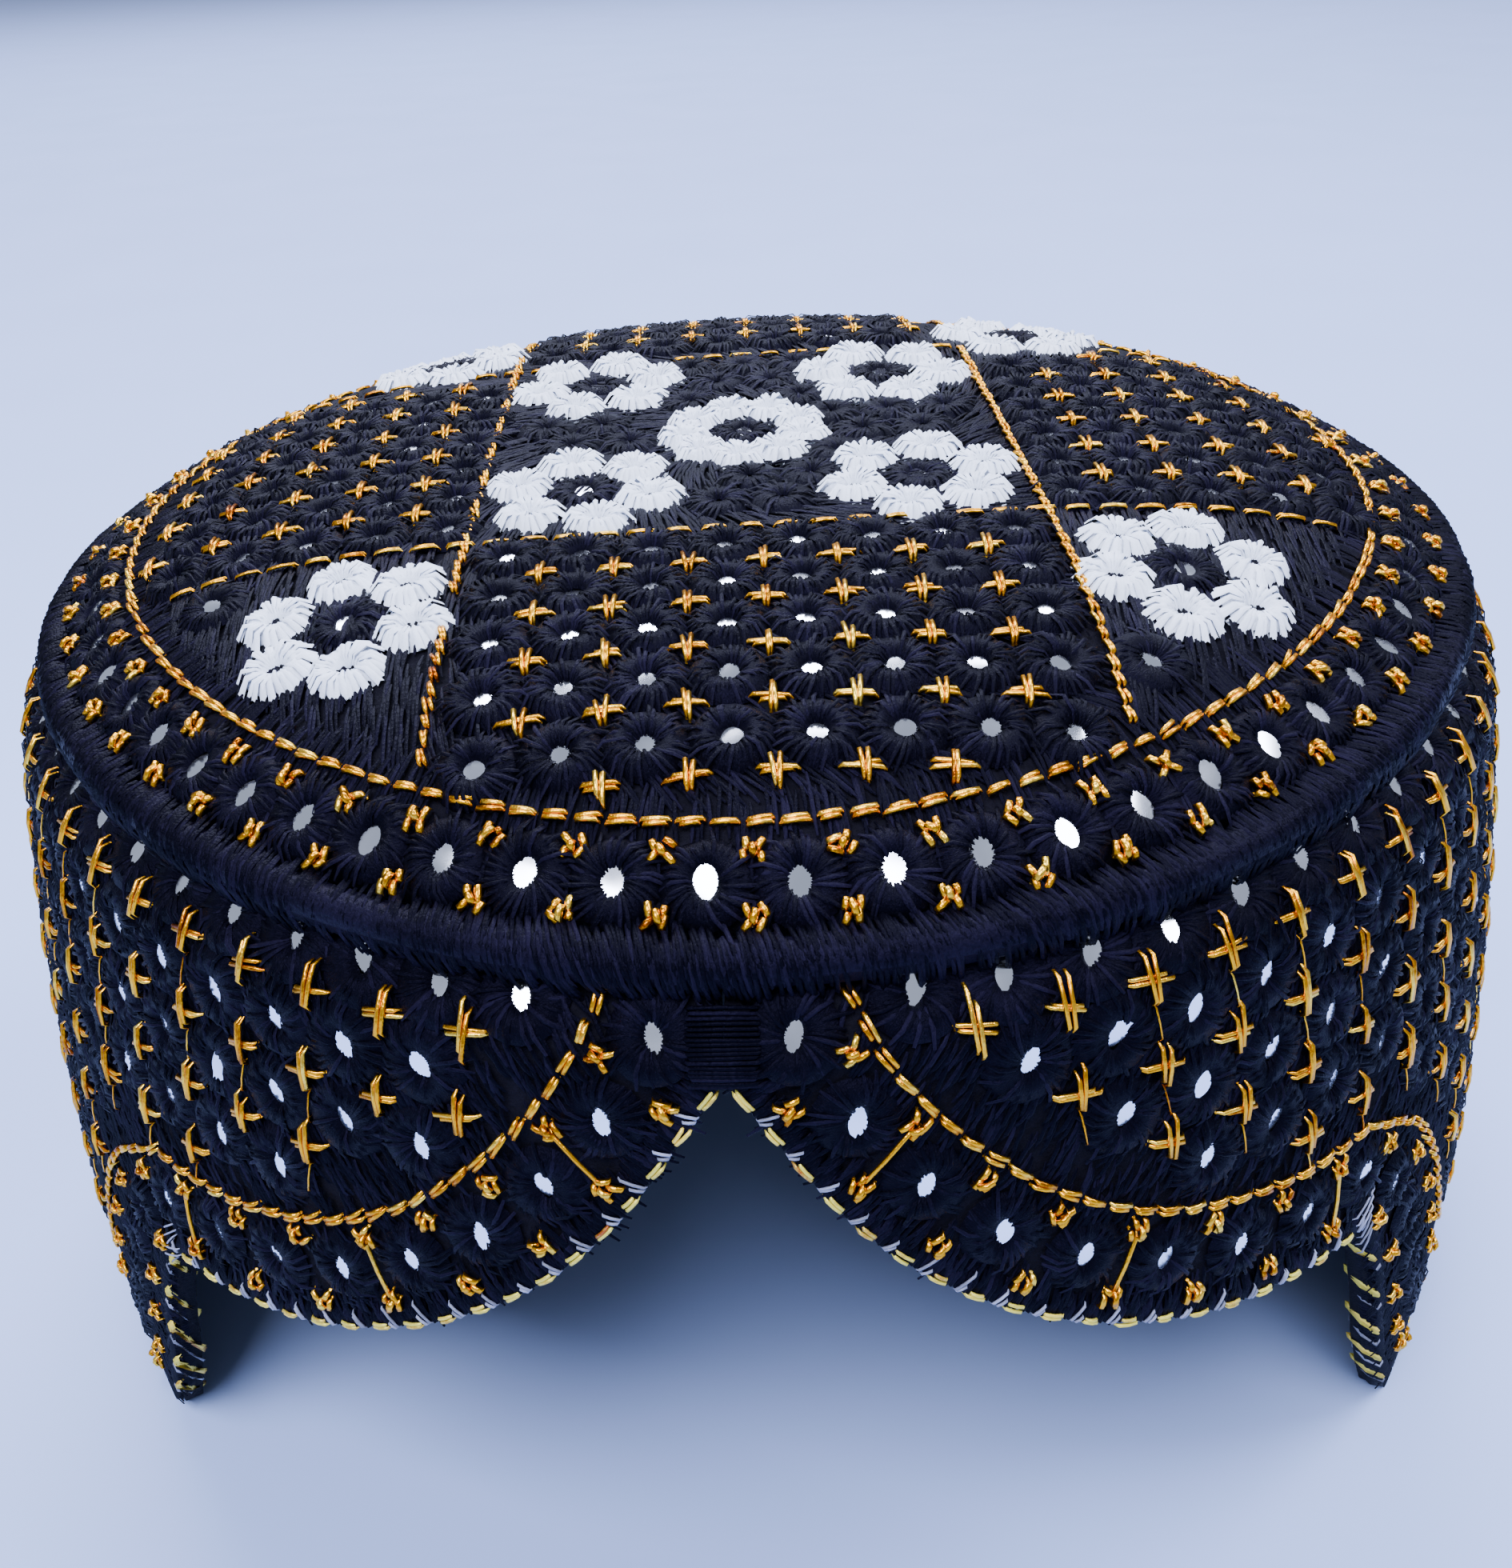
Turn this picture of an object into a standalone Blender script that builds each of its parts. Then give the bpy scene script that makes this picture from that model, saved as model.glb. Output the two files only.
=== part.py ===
# A stiff embroidered cap of the kind worn in Sindh: an oval domed crown inside a padded rim,
# a flared wall whose front is cut away in a pointed arch, and white flowers sewn on the crown.
# Metres, +Z up. The wearer's forehead is at -Y. The cap stands on the hem of its side walls, at Z = 0.

import math

import bmesh
import bpy

# The rim's middle, seen from the middle of the box that holds the whole cap
RIM_MIDDLE = (0.00006, 0.00004, 0.0)

# Rim, seen from above: an oval with the slight unevenness of soft cloth
RIM_RADIUS = 0.0810
RIM_WAVES = (
    # lobes round the rim, cosine part, sine part
    (2, 0.0051, -0.0010),
    (3, 0.0000, 0.0020),
)
RIM_HEIGHT = 0.1050
RIM_TILT_BACK = 0.0053
RIM_TILT_RIGHT = 0.0013

# Crown: a flat top with a rounded shoulder
CLOTH = 0.0030
CROWN_RISE = 0.0126
SHOULDER_POWER = 5.5
CROWN_RINGS = (0.25, 0.50, 0.66, 0.78, 0.87, 0.93)
CROWN_EDGE_INSET = 0.0030

# Padded ridge of satin stitch between the crown and the wall
CORD_RADIUS = 0.0024
CORD_DROP = 0.0009
CORD_SIDES = 8

# Wall: its outward flare, with depth measured down from the rim
WALL_TOP_DEPTH = 0.0037
FLARE_DEPTH = 0.0736
FLARE_START = 0.0033
FLARE_LINEAR = (0.0148, 0.0031)
FLARE_SQUARE = (-0.0058, -0.0013)
TUCK = 0.0030
TUCK_DEPTH = 0.0060
WALL_ROWS = 6
SEAM_GAP = 0.0003

# Hem of one front half, from the front notch round to the side seam
FRONT_HEM = (
    # azimuth from the front in degrees, depth under the rim in metres
    (0.0, 0.0100),
    (4.0, 0.0183),
    (8.0, 0.0262),
    (13.0, 0.0335),
    (19.0, 0.0398),
    (26.0, 0.0452),
    (34.0, 0.0496),
    (42.0, 0.0522),
    (50.0, 0.0540),
)
# Front edge of a side wall, from the side seam down to the table
SIDE_HEM = (
    # azimuth past the side seam in degrees, depth under the rim in metres
    (0.0, 0.0540),
    (2.5, 0.0610),
    (4.5, 0.0708),
    (6.2, 0.0805),
    (9.5, 0.0920),
    (14.0, 0.1040),
    (18.0, 0.1120),
)
NOTCH_AZIMUTH = -2.8
SIDE_SEAM_AZIMUTHS = (-49.0, 44.0)
BACK_SEAM_AZIMUTH = 180.0
# How closely a panel's columns crowd towards its first edge
FRONT_CROWDING = 1.3
SIDE_CROWDING = 1.8

# Satin-stitched bar that closes the seam above the front notch
JOIN_WIDTH = 0.0075
JOIN_HEIGHT = 0.0056
JOIN_THICKNESS = 0.0011
JOIN_GAP = 0.0005

# White flowers on the crown, placed from the rim's middle; the ring's petals are fused
FLOWERS = (
    # name, x, y, turn in degrees, outer radius, inner radius, scallop depth
    ("flower_front_left", -0.0424, -0.0353, 12.0, 0.0123, 0.0040, 0.0032),
    ("flower_front_right", 0.0458, -0.0346, 45.0, 0.0123, 0.0040, 0.0032),
    ("flower_back_left", -0.0424, 0.0448, 12.0, 0.0123, 0.0040, 0.0032),
    ("flower_back_right", 0.0412, 0.0412, 30.0, 0.0123, 0.0040, 0.0032),
    ("flower_square_front_left", -0.0187, -0.0096, 14.0, 0.0123, 0.0040, 0.0032),
    ("flower_square_front_right", 0.0208, -0.0107, 46.0, 0.0123, 0.0040, 0.0032),
    ("flower_square_back_left", -0.0190, 0.0258, 42.0, 0.0123, 0.0040, 0.0032),
    ("flower_square_back_right", 0.0197, 0.0244, 20.0, 0.0123, 0.0040, 0.0032),
    ("flower_ring", 0.0006, 0.0058, 4.0, 0.0112, 0.0040, 0.0007),
)
PETALS = 6
POINTS_A_PETAL = 4
FLOWER_THICKNESS = 0.0010
FLOWER_GAP = 0.0005

SEGMENTS = 72

BLACK_CLOTH = (0.008, 0.008, 0.014, 1.0)
WHITE_THREAD = (0.83, 0.86, 0.93, 1.0)


def clear_scene():
    """Remove whatever objects the open file holds."""
    for thing in list(bpy.data.objects):
        bpy.data.objects.remove(thing, do_unlink=True)


def fibre(name, colour, roughness):
    """A plain thread or cloth material."""
    material = bpy.data.materials.new(name)
    material.use_nodes = True
    shader = material.node_tree.nodes["Principled BSDF"]
    shader.inputs["Base Color"].default_value = colour
    shader.inputs["Roughness"].default_value = roughness
    shader.inputs["Metallic"].default_value = 0.0
    return material


def direction(azimuth):
    """Angle round +Z, in radians, of an azimuth in degrees counted from the front towards +X."""
    return math.radians(azimuth - 90.0)


def rim_radius(angle):
    """Distance of the rim from the middle of the cap."""
    radius = RIM_RADIUS
    for lobes, cosine, sine in RIM_WAVES:
        radius += cosine * math.cos(lobes * angle) + sine * math.sin(lobes * angle)
    return radius


def rim_height(angle):
    """Height of the rim, which tips a little towards the forehead."""
    return RIM_HEIGHT + RIM_TILT_RIGHT * math.cos(angle) + RIM_TILT_BACK * math.sin(angle)


def crown_height(x, y):
    """Height of the crown's outer face."""
    angle = math.atan2(y, x)
    share = math.hypot(x, y) / rim_radius(angle)
    tilt = share * (rim_height(angle) - RIM_HEIGHT)
    return RIM_HEIGHT + tilt + CROWN_RISE * (1.0 - share ** SHOULDER_POWER)


def wall_radius(angle, depth):
    """Distance of the wall's outer face from the middle, at a depth under the rim."""
    fall = depth / FLARE_DEPTH
    oval = math.cos(2.0 * angle)
    flare = FLARE_START
    flare += (FLARE_LINEAR[0] + FLARE_LINEAR[1] * oval) * fall
    flare += (FLARE_SQUARE[0] + FLARE_SQUARE[1] * oval) * fall * fall
    tuck = max(0.0, 1.0 - (depth - WALL_TOP_DEPTH) / TUCK_DEPTH)
    return rim_radius(angle) + flare - TUCK * tuck * tuck


def wall_point(angle, depth, inset=0.0):
    """A point of the wall, inset towards the middle."""
    radius = wall_radius(angle, depth) - inset
    return (radius * math.cos(angle), radius * math.sin(angle), rim_height(angle) - depth)


def along(table, value):
    """Read a table of value and result pairs with straight steps between its rows."""
    rows = list(zip(table, table[1:]))
    for (start, low), (end, high) in rows:
        if value <= end:
            return low + (high - low) * (value - start) / (end - start)
    return table[-1][1]


def front_hem_depth(azimuth, seam):
    """Depth of the arched hem of a front half, measured from the notch to its side seam."""
    reach = abs(azimuth - NOTCH_AZIMUTH) / abs(seam - NOTCH_AZIMUTH)
    return along(FRONT_HEM, reach * FRONT_HEM[-1][0])


def side_hem_depth(azimuth, seam):
    """Depth of a side wall's hem, which drops from the side seam to the table."""
    angle = direction(azimuth)
    return min(along(SIDE_HEM, abs(azimuth - seam)), rim_height(angle))


def add_object(name, mesh_maker, material, collection):
    """Make a mesh object from a filled bmesh and put it in a collection."""
    mesh = bpy.data.meshes.new(name)
    mesh_maker.to_mesh(mesh)
    mesh_maker.free()
    mesh.materials.append(material)
    mesh.shade_smooth()
    mesh.set_sharp_from_angle(angle=math.radians(35.0))
    thing = bpy.data.objects.new(name, mesh)
    collection.objects.link(thing)
    return thing


def thicken(mesh_maker, move):
    """Give an open sheet a second face: the copy of each vertex goes where move puts it."""
    sheet = list(mesh_maker.faces)
    result = bmesh.ops.extrude_face_region(mesh_maker, geom=sheet, use_keep_orig=True)
    for item in result["geom"]:
        if isinstance(item, bmesh.types.BMVert):
            item.co = move(item.co)
    bmesh.ops.recalc_face_normals(mesh_maker, faces=mesh_maker.faces)


def make_crown(material, collection):
    """The domed oval top, one sheet of cloth with its edge just inside the rim."""
    maker = bmesh.new()
    shares = list(CROWN_RINGS) + [1.0 - CROWN_EDGE_INSET / RIM_RADIUS]
    middle = maker.verts.new((0.0, 0.0, crown_height(0.0, 0.0)))
    inner = None
    for share in shares:
        ring = []
        for step in range(SEGMENTS):
            angle = 2.0 * math.pi * step / SEGMENTS
            radius = rim_radius(angle) * share
            x = radius * math.cos(angle)
            y = radius * math.sin(angle)
            ring.append(maker.verts.new((x, y, crown_height(x, y))))
        for step in range(SEGMENTS):
            after = (step + 1) % SEGMENTS
            if inner is None:
                maker.faces.new((middle, ring[step], ring[after]))
            else:
                maker.faces.new((inner[step], ring[step], ring[after], inner[after]))
        inner = ring
    thicken(maker, lambda point: (point.x, point.y, point.z - CLOTH))
    return add_object("crown", maker, material, collection)


def make_rim_cord(material, collection):
    """The padded ridge: a bevelled closed curve that follows the rim."""
    curve = bpy.data.curves.new("rim_path", "CURVE")
    curve.dimensions = "3D"
    curve.bevel_depth = CORD_RADIUS
    curve.bevel_resolution = CORD_SIDES // 2 - 2
    spline = curve.splines.new("POLY")
    spline.points.add(SEGMENTS - 1)
    spline.use_cyclic_u = True
    for step, point in enumerate(spline.points):
        angle = 2.0 * math.pi * step / SEGMENTS
        radius = rim_radius(angle)
        height = rim_height(angle) - CORD_DROP
        point.co = (radius * math.cos(angle), radius * math.sin(angle), height, 1.0)
    cord = bpy.data.objects.new("rim_cord", curve)
    curve.materials.append(material)
    collection.objects.link(cord)
    return cord


def make_wall_panel(name, first, last, crowding, hem_depth, material, collection):
    """A curved cloth panel between two azimuths, cut along its hem, with finer columns at the first."""
    columns = round(abs(last - first) * SEGMENTS / 360.0)
    maker = bmesh.new()
    bmesh.ops.create_grid(maker, x_segments=columns, y_segments=WALL_ROWS, size=1.0)
    half_gap = math.copysign(math.degrees(SEAM_GAP / 2.0 / RIM_RADIUS), last - first)
    start = first + half_gap
    end = last - half_gap
    for vertex in maker.verts:
        across = (vertex.co.x + 1.0) / 2.0
        down = (1.0 - vertex.co.y) / 2.0
        azimuth = start + (end - start) * across ** crowding
        depth = WALL_TOP_DEPTH + (hem_depth(azimuth) - WALL_TOP_DEPTH) * down
        vertex.co = wall_point(direction(azimuth), depth)

    def inwards(point):
        reach = math.hypot(point.x, point.y)
        keep = (reach - CLOTH) / reach
        return (point.x * keep, point.y * keep, point.z)

    thicken(maker, inwards)
    return add_object(name, maker, material, collection)


def make_front_join(material, collection):
    """The small bar of satin stitch across the seam over the front notch."""
    maker = bmesh.new()
    bmesh.ops.create_grid(maker, x_segments=4, y_segments=4, size=0.5)
    middle = direction(NOTCH_AZIMUTH)
    depth = FRONT_HEM[0][1] - JOIN_HEIGHT / 2.0
    for vertex in maker.verts:
        angle = middle + vertex.co.x * JOIN_WIDTH / wall_radius(middle, depth)
        vertex.co = wall_point(angle, depth - vertex.co.y * JOIN_HEIGHT, -JOIN_GAP)

    def outwards(point):
        reach = math.hypot(point.x, point.y)
        stretch = (reach + JOIN_THICKNESS) / reach
        return (point.x * stretch, point.y * stretch, point.z)

    thicken(maker, outwards)
    return add_object("front_join", maker, material, collection)


def make_flower(name, x, y, turn, outer, inner, scallop, material, collection):
    """A flower in raised white stitch: a scalloped ring that follows the crown."""
    maker = bmesh.new()
    count = PETALS * POINTS_A_PETAL
    rings = ([], [])
    for step in range(count):
        swing = 2.0 * math.pi * step / count
        lobe = abs(math.sin(PETALS * swing / 2.0))
        for ring, radius in zip(rings, (inner, outer - scallop * (1.0 - lobe))):
            px = x + radius * math.cos(swing + math.radians(turn))
            py = y + radius * math.sin(swing + math.radians(turn))
            ring.append(maker.verts.new((px, py, crown_height(px, py) + FLOWER_GAP)))
    inside, outside = rings
    for step in range(count):
        after = (step + 1) % count
        maker.faces.new((inside[step], outside[step], outside[after], inside[after]))
    thicken(maker, lambda point: (point.x, point.y, point.z + FLOWER_THICKNESS))
    return add_object(name, maker, material, collection)


def main():
    clear_scene()
    cap = bpy.data.collections.new("sindhi_cap")
    bpy.context.scene.collection.children.link(cap)
    cloth = fibre("black_cloth", BLACK_CLOTH, 0.75)
    satin = fibre("black_satin", BLACK_CLOTH, 0.45)
    white = fibre("white_thread", WHITE_THREAD, 0.60)

    make_crown(cloth, cap)
    make_rim_cord(satin, cap)
    for side, seam in zip(("left", "right"), SIDE_SEAM_AZIMUTHS):
        back_seam = math.copysign(BACK_SEAM_AZIMUTH, seam)
        make_wall_panel("front_" + side + "_panel", NOTCH_AZIMUTH, seam, FRONT_CROWDING,
                        lambda azimuth: front_hem_depth(azimuth, seam), cloth, cap)
        make_wall_panel(side + "_wall", seam, back_seam, SIDE_CROWDING,
                        lambda azimuth: side_hem_depth(azimuth, seam), cloth, cap)
    make_front_join(satin, cap)
    for flower in FLOWERS:
        make_flower(*flower, white, cap)

    middle = bpy.data.objects.new("cap_middle", None)
    middle.location = RIM_MIDDLE
    cap.objects.link(middle)
    for piece in list(cap.objects):
        if piece is not middle:
            piece.parent = middle


main()
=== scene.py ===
import math

import bpy
import numpy as np
from bpy.props import FloatProperty, FloatVectorProperty, IntProperty, PointerProperty
from mathutils import Matrix, Vector


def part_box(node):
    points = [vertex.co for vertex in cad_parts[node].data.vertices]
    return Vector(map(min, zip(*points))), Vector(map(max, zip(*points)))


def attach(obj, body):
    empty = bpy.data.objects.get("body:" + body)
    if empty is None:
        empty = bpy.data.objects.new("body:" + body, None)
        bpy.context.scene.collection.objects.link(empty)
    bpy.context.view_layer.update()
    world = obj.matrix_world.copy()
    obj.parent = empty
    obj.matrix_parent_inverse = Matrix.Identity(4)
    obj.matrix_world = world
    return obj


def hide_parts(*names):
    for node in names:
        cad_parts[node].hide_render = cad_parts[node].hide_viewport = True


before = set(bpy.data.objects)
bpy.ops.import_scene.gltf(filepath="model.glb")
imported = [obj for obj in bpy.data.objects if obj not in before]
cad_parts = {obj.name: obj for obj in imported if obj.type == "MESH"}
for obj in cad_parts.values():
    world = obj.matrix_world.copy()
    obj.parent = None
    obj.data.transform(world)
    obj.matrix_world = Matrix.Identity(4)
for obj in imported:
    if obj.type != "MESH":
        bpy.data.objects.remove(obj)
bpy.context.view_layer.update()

bl_info = {
    "name": "Embroidered Sindhi cap",
    "version": (1, 0, 0),
    "blender": (4, 5, 0),
    "location": "3D View > Sidebar > Cap",
    "description": "Dresses the cap's solids in cloth, buttonhole stitches, mirrors and gold thread",
    "category": "Add Mesh",
}

MM = 0.001


def hex_colour(text):
    """Turn an sRGB hex colour into linear red, green and blue."""
    values = [int(text[i:i + 2], 16) / 255.0 for i in (1, 3, 5)]
    return [v / 12.92 if v <= 0.04045 else ((v + 0.055) / 1.055) ** 2.4 for v in values]


# The forms of the cap, in millimetres, as the solids have them
RIM_RADIUS = 81.0
RIM_WAVES = ((2, 5.1, -1.0), (3, 0.0, 2.0))
RIM_HEIGHT = 105.0
RIM_TILT = (1.3, 5.3)
CROWN_RISE = 12.6
SHOULDER_POWER = 5.5
CORD_DROP = 0.9
WALL_TOP = 3.7
FLARE_DEPTH = 73.6
FLARE = (3.3, 14.8, -5.8)
FLARE_OVAL = (0.0, 3.1, -1.3)
TUCK = 3.0
TUCK_DEPTH = 6.0
NOTCH = -2.8
SEAMS = {"left": -49.0, "right": 44.0}
FULL_REACH = 50.0

# Edges of a front half: hem and gold arch, by reach from the notch on a scale of 50, and depth under the rim
FRONT_EDGES = (
    # hem reach, hem depth, arch reach, arch depth
    (0.0, 10.0, 8.1, 3.2),
    (4.0, 18.3, 11.2, 10.5),
    (8.0, 26.2, 15.6, 18.3),
    (13.0, 33.5, 20.8, 25.2),
    (19.0, 39.8, 25.8, 30.1),
    (26.0, 45.2, 31.0, 33.7),
    (34.0, 49.6, 37.0, 36.3),
    (42.0, 52.2, 43.0, 38.1),
    (50.0, 54.0, 50.0, 38.8),
)
# Edges of a side wall, by degrees past the side seam; further back both run level with the table
SIDE_EDGES = (
    (0.0, 54.0, 0.0, 38.8),
    (2.5, 61.0, 7.0, 46.0),
    (4.5, 70.8, 12.0, 57.0),
    (6.2, 80.5, 15.5, 68.0),
    (9.5, 92.0, 19.5, 79.0),
    (14.0, 104.0, 25.0, 87.0),
)
# Height of the band between the hem and the gold arch where both run level, and a mirror's radius, in mm
HEM_BAND = 16.0
MIRROR_RADIUS = 2.0
# How far in mm the cloth's inner face lies under the outer one, and the four panels of the wall
CROWN_DEPTH = 2.8
WALL_DEPTH = 2.9
PANELS = [(side, part) for side in SEAMS for part in ("front", "side")]

# First seed of each kind of piece's random draws; pieces of one kind count on from it
SEEDS = {
    "rim": 11, "crown": 21, "crown_mirrors": 22, "crown_gold": 23, "border": 24, "flowers": 31,
    "wall": 51, "wall_mirrors": 61, "wall_gold": 71, "wall_ground": 81,
    "hem_yellow": 91, "hem_grey": 92, "hem_black": 93, "join": 101, "ties": 102,
}

# The photograph's camera, from a fit to its rim, wall and stitch rows
IMAGE_HEIGHT = 1960.0
FOCAL_PIXELS = 1850.0
SENSOR = 36.0
CAMERA_PLACE = (-0.45, -177.8, 177.2)
CAMERA_YAW = 0.003
CAMERA_PITCH = 0.545
CAMERA_ROLL = -0.046


def length_property(name, description, metres):
    """A length that a user may change."""
    return FloatProperty(name=name, description=description, default=metres, unit="LENGTH")


def colour_property(name, description, colour):
    """A colour that a user may change, from its sRGB hex value."""
    return FloatVectorProperty(
        name=name, description=description, default=hex_colour(colour), subtype="COLOR")


class CapSizes(bpy.types.PropertyGroup):
    """Sizes of the stitches that a user may change"""
    cloth_inset: length_property(
        "Stitch depth", "How far the ground cloth lies under the stitches' tops", 0.0006)
    cell_outer: length_property("Cell radius", "Outer radius of a buttonhole mound round a mirror", 0.0047)
    opening_width: length_property("Opening width", "Width of the opening that shows a mirror", 0.0019)
    opening_length: length_property("Opening length", "Length of the opening that shows a mirror", 0.0029)
    cell_threads: IntProperty(
        name="Cell threads", description="Threads in one buttonhole mound", default=30, min=8)
    gold_thickness: length_property("Gold thread", "Thickness of the gold thread", 0.00058)
    petal_outer: length_property("Petal radius", "Outer radius of one white petal", 0.0043)
    petal_threads: IntProperty(
        name="Petal threads", description="Threads in one white petal", default=28, min=8)


class CapColours(bpy.types.PropertyGroup):
    """Colours of the threads, the mirrors and the table"""
    # Black and navy are a shaded and a lit copy of the rayon's colour: the navy is a painted sheen that
    # noise mixes into the colour, not light from the lamps
    black: colour_property("Black thread", "Shaded colour of the black rayon", "#030307")
    navy: colour_property("Navy sheen", "Colour where the black rayon catches light", "#141121")
    gold: colour_property("Gold thread", "Common colour of the gold thread", "#f2a812")
    # The gold shade and the gold glint are painted shade and a painted highlight, which noise mixes into the
    # gold along with each strand's own tone
    gold_dark: colour_property("Gold shade", "Darkest colour of the gold thread", "#9a4a03")
    gold_pale: colour_property("Gold glint", "Palest colour of the gold thread", "#ffd850")
    white: colour_property("White thread", "Colour of the white petals", "#edf3ff")
    hem_yellow: colour_property("Hem thread", "Colour of the yellow hem stitches", "#e0d050")
    hem_grey: colour_property("Grey thread", "Colour of the grey hem stitches", "#9a9db4")
    mirror: colour_property("Mirror", "Tint of the silvered glass", "#f3f5fa")
    floor: colour_property("Table", "Colour of the pale table", "#a9bdf0")


def rim_radius(angle):
    """Distance of the rim from the cap's middle, in mm, at an angle round +Z."""
    radius = np.full_like(angle, RIM_RADIUS)
    for lobes, cosine, sine in RIM_WAVES:
        radius = radius + cosine * np.cos(lobes * angle) + sine * np.sin(lobes * angle)
    return radius


def rim_height(angle):
    """Height of the rim over the table in mm."""
    return RIM_HEIGHT + RIM_TILT[0] * np.cos(angle) + RIM_TILT[1] * np.sin(angle)


def turn_of(azimuth):
    """Angle round +Z of an azimuth in degrees from the front."""
    return np.radians(np.asarray(azimuth, float) - 90.0)


def round_point(angle, radius, height):
    """A point in mm at an angle round +Z, a distance from the cap's middle and a height."""
    return np.stack([radius * np.cos(angle), radius * np.sin(angle), height], -1)


def crown_point(x, y, proud=0.0):
    """A point of the crown's outer face in mm, and how far it is raised above it."""
    angle = np.arctan2(y, x)
    share = np.hypot(x, y) / rim_radius(angle)
    tilt = share * (rim_height(angle) - RIM_HEIGHT)
    height = RIM_HEIGHT + tilt + CROWN_RISE * (1.0 - share ** SHOULDER_POWER)
    return np.stack([x, y, height + proud], -1)


def wall_point(azimuth, depth, proud=0.0):
    """A point of the wall's outer face in mm, at a depth under the rim."""
    angle = turn_of(azimuth)
    fall = depth / FLARE_DEPTH
    oval = np.cos(2.0 * angle)
    radius = rim_radius(angle) + proud
    for power in range(3):
        radius = radius + (FLARE[power] + FLARE_OVAL[power] * oval) * fall ** power
    tuck = np.maximum(0.0, 1.0 - (depth - WALL_TOP) / TUCK_DEPTH)
    radius = radius - TUCK * tuck * tuck
    return round_point(angle, radius, rim_height(angle) - depth)


def unit(vectors):
    """Vectors scaled to length one."""
    return vectors / np.maximum(np.linalg.norm(vectors, axis=-1, keepdims=True), 1e-12)


def frames(surface, a, b, step_a, step_b):
    """Points of a surface with their first tangent, second tangent and outward normal."""
    a = np.asarray(a, float)
    b = np.asarray(b, float)
    point = surface(a, b)
    first = unit(surface(a + step_a, b) - surface(a - step_a, b))
    second = surface(a, b + step_b) - surface(a, b - step_b)
    normal = unit(np.cross(first, second))
    return point, first, np.cross(normal, first), normal


def crown_frames(x, y):
    """Frames on the crown: right, back and outward."""
    return frames(crown_point, x, y, 0.5, 0.5)


def wall_frames(azimuth, depth):
    """Frames on the wall: round towards growing azimuth, up and outward."""
    return frames(lambda a, rise: wall_point(a, -rise), azimuth, -np.asarray(depth, float), 0.3, 0.5)


def table_curve(rows, key, value):
    """A reader of one column of a table of edges against another, with straight runs between its rows."""
    table = np.array(rows)
    return lambda at: np.interp(at, table[:, key], table[:, value])


def reach_of(azimuth, side):
    """Reach of an azimuth from the front notch, on the edges table's scale."""
    return np.abs(np.asarray(azimuth, float) - NOTCH) * FULL_REACH / abs(SEAMS[side] - NOTCH)


def front_azimuth(reach, side):
    """Azimuth of a reach from the front notch."""
    return NOTCH + np.asarray(reach, float) * (SEAMS[side] - NOTCH) / FULL_REACH


def sign_of(side):
    """Minus one on the left and one on the right."""
    return 1.0 if side == "right" else -1.0


def panel_node(side, part):
    """Name of a wall panel's solid."""
    return "front_" + side + "_panel" if part == "front" else side + "_wall"


def hem_depth(azimuth, side, part):
    """Depth of the hem under the rim in mm."""
    azimuth = np.asarray(azimuth, float)
    if part == "front":
        return table_curve(FRONT_EDGES, 0, 1)(reach_of(azimuth, side))
    past = np.abs(azimuth - SEAMS[side])
    depth = table_curve(SIDE_EDGES, 0, 1)(past)
    floor_depth = rim_height(turn_of(azimuth))
    depth = np.where(past > SIDE_EDGES[-1][0], floor_depth, depth)
    return np.minimum(depth, floor_depth)


def arch_depth(azimuth, side, part):
    """Depth of the gold arch under the rim in mm."""
    azimuth = np.asarray(azimuth, float)
    if part == "front":
        reach = reach_of(azimuth, side)
        depth = table_curve(FRONT_EDGES, 2, 3)(reach)
        return np.where(reach < FRONT_EDGES[0][2], 0.0, depth)
    past = np.abs(azimuth - SEAMS[side])
    depth = table_curve(SIDE_EDGES, 2, 3)(past)
    level = rim_height(turn_of(azimuth)) - HEM_BAND
    return np.where(past > SIDE_EDGES[-1][2], level, np.minimum(depth, level))


def edge_path(side, part, share):
    """Azimuths and depths along a line between hem (share 0) and gold arch (share 1)."""
    if part == "front":
        rows = np.array(FRONT_EDGES)
        reach = rows[:, 0] + (rows[:, 2] - rows[:, 0]) * share
        return front_azimuth(reach, side), rows[:, 1] + (rows[:, 3] - rows[:, 1]) * share
    rows = np.array(SIDE_EDGES)
    past = rows[:, 0] + (rows[:, 2] - rows[:, 0]) * share
    depth = rows[:, 1] + (rows[:, 3] - rows[:, 1]) * share
    last = abs(sign_of(side) * 180.0 - SEAMS[side])
    more = np.arange(past[-1] + 5.0, last, 3.0)
    more[-1] = last - 0.3
    past = np.concatenate([past, more])
    azimuth = SEAMS[side] + sign_of(side) * past
    level = rim_height(turn_of(azimuth)) - HEM_BAND * share
    depth = np.concatenate([depth, level[len(depth):]])
    return azimuth, np.minimum(depth, level)


def along_path(surface_frames, a, b, pitch, start=0.5):
    """Frames at even steps along a path on a surface, with the path's own direction as first axis."""
    fine = np.linspace(0.0, 1.0, 24 * len(a))
    marks = np.linspace(0.0, 1.0, len(a))
    fine_a = smooth_read(fine, marks, a)
    fine_b = smooth_read(fine, marks, b)
    point = surface_frames(fine_a, fine_b)[0]
    run = np.concatenate([[0.0], np.cumsum(np.linalg.norm(np.diff(point, axis=0), axis=1))])
    count = max(1, int(round(run[-1] / pitch)))
    at = (np.arange(count) + start) * run[-1] / count
    at = at[at <= run[-1]]
    here_a = np.interp(at, run, fine_a)
    here_b = np.interp(at, run, fine_b)
    point, first, second, normal = surface_frames(here_a, here_b)
    ahead_a = np.interp(at + 0.3, run, fine_a)
    ahead_b = np.interp(at + 0.3, run, fine_b)
    behind_a = np.interp(at - 0.3, run, fine_a)
    behind_b = np.interp(at - 0.3, run, fine_b)
    along = unit(surface_frames(ahead_a, ahead_b)[0] - surface_frames(behind_a, behind_b)[0])
    return point, along, np.cross(normal, along), normal


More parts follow.
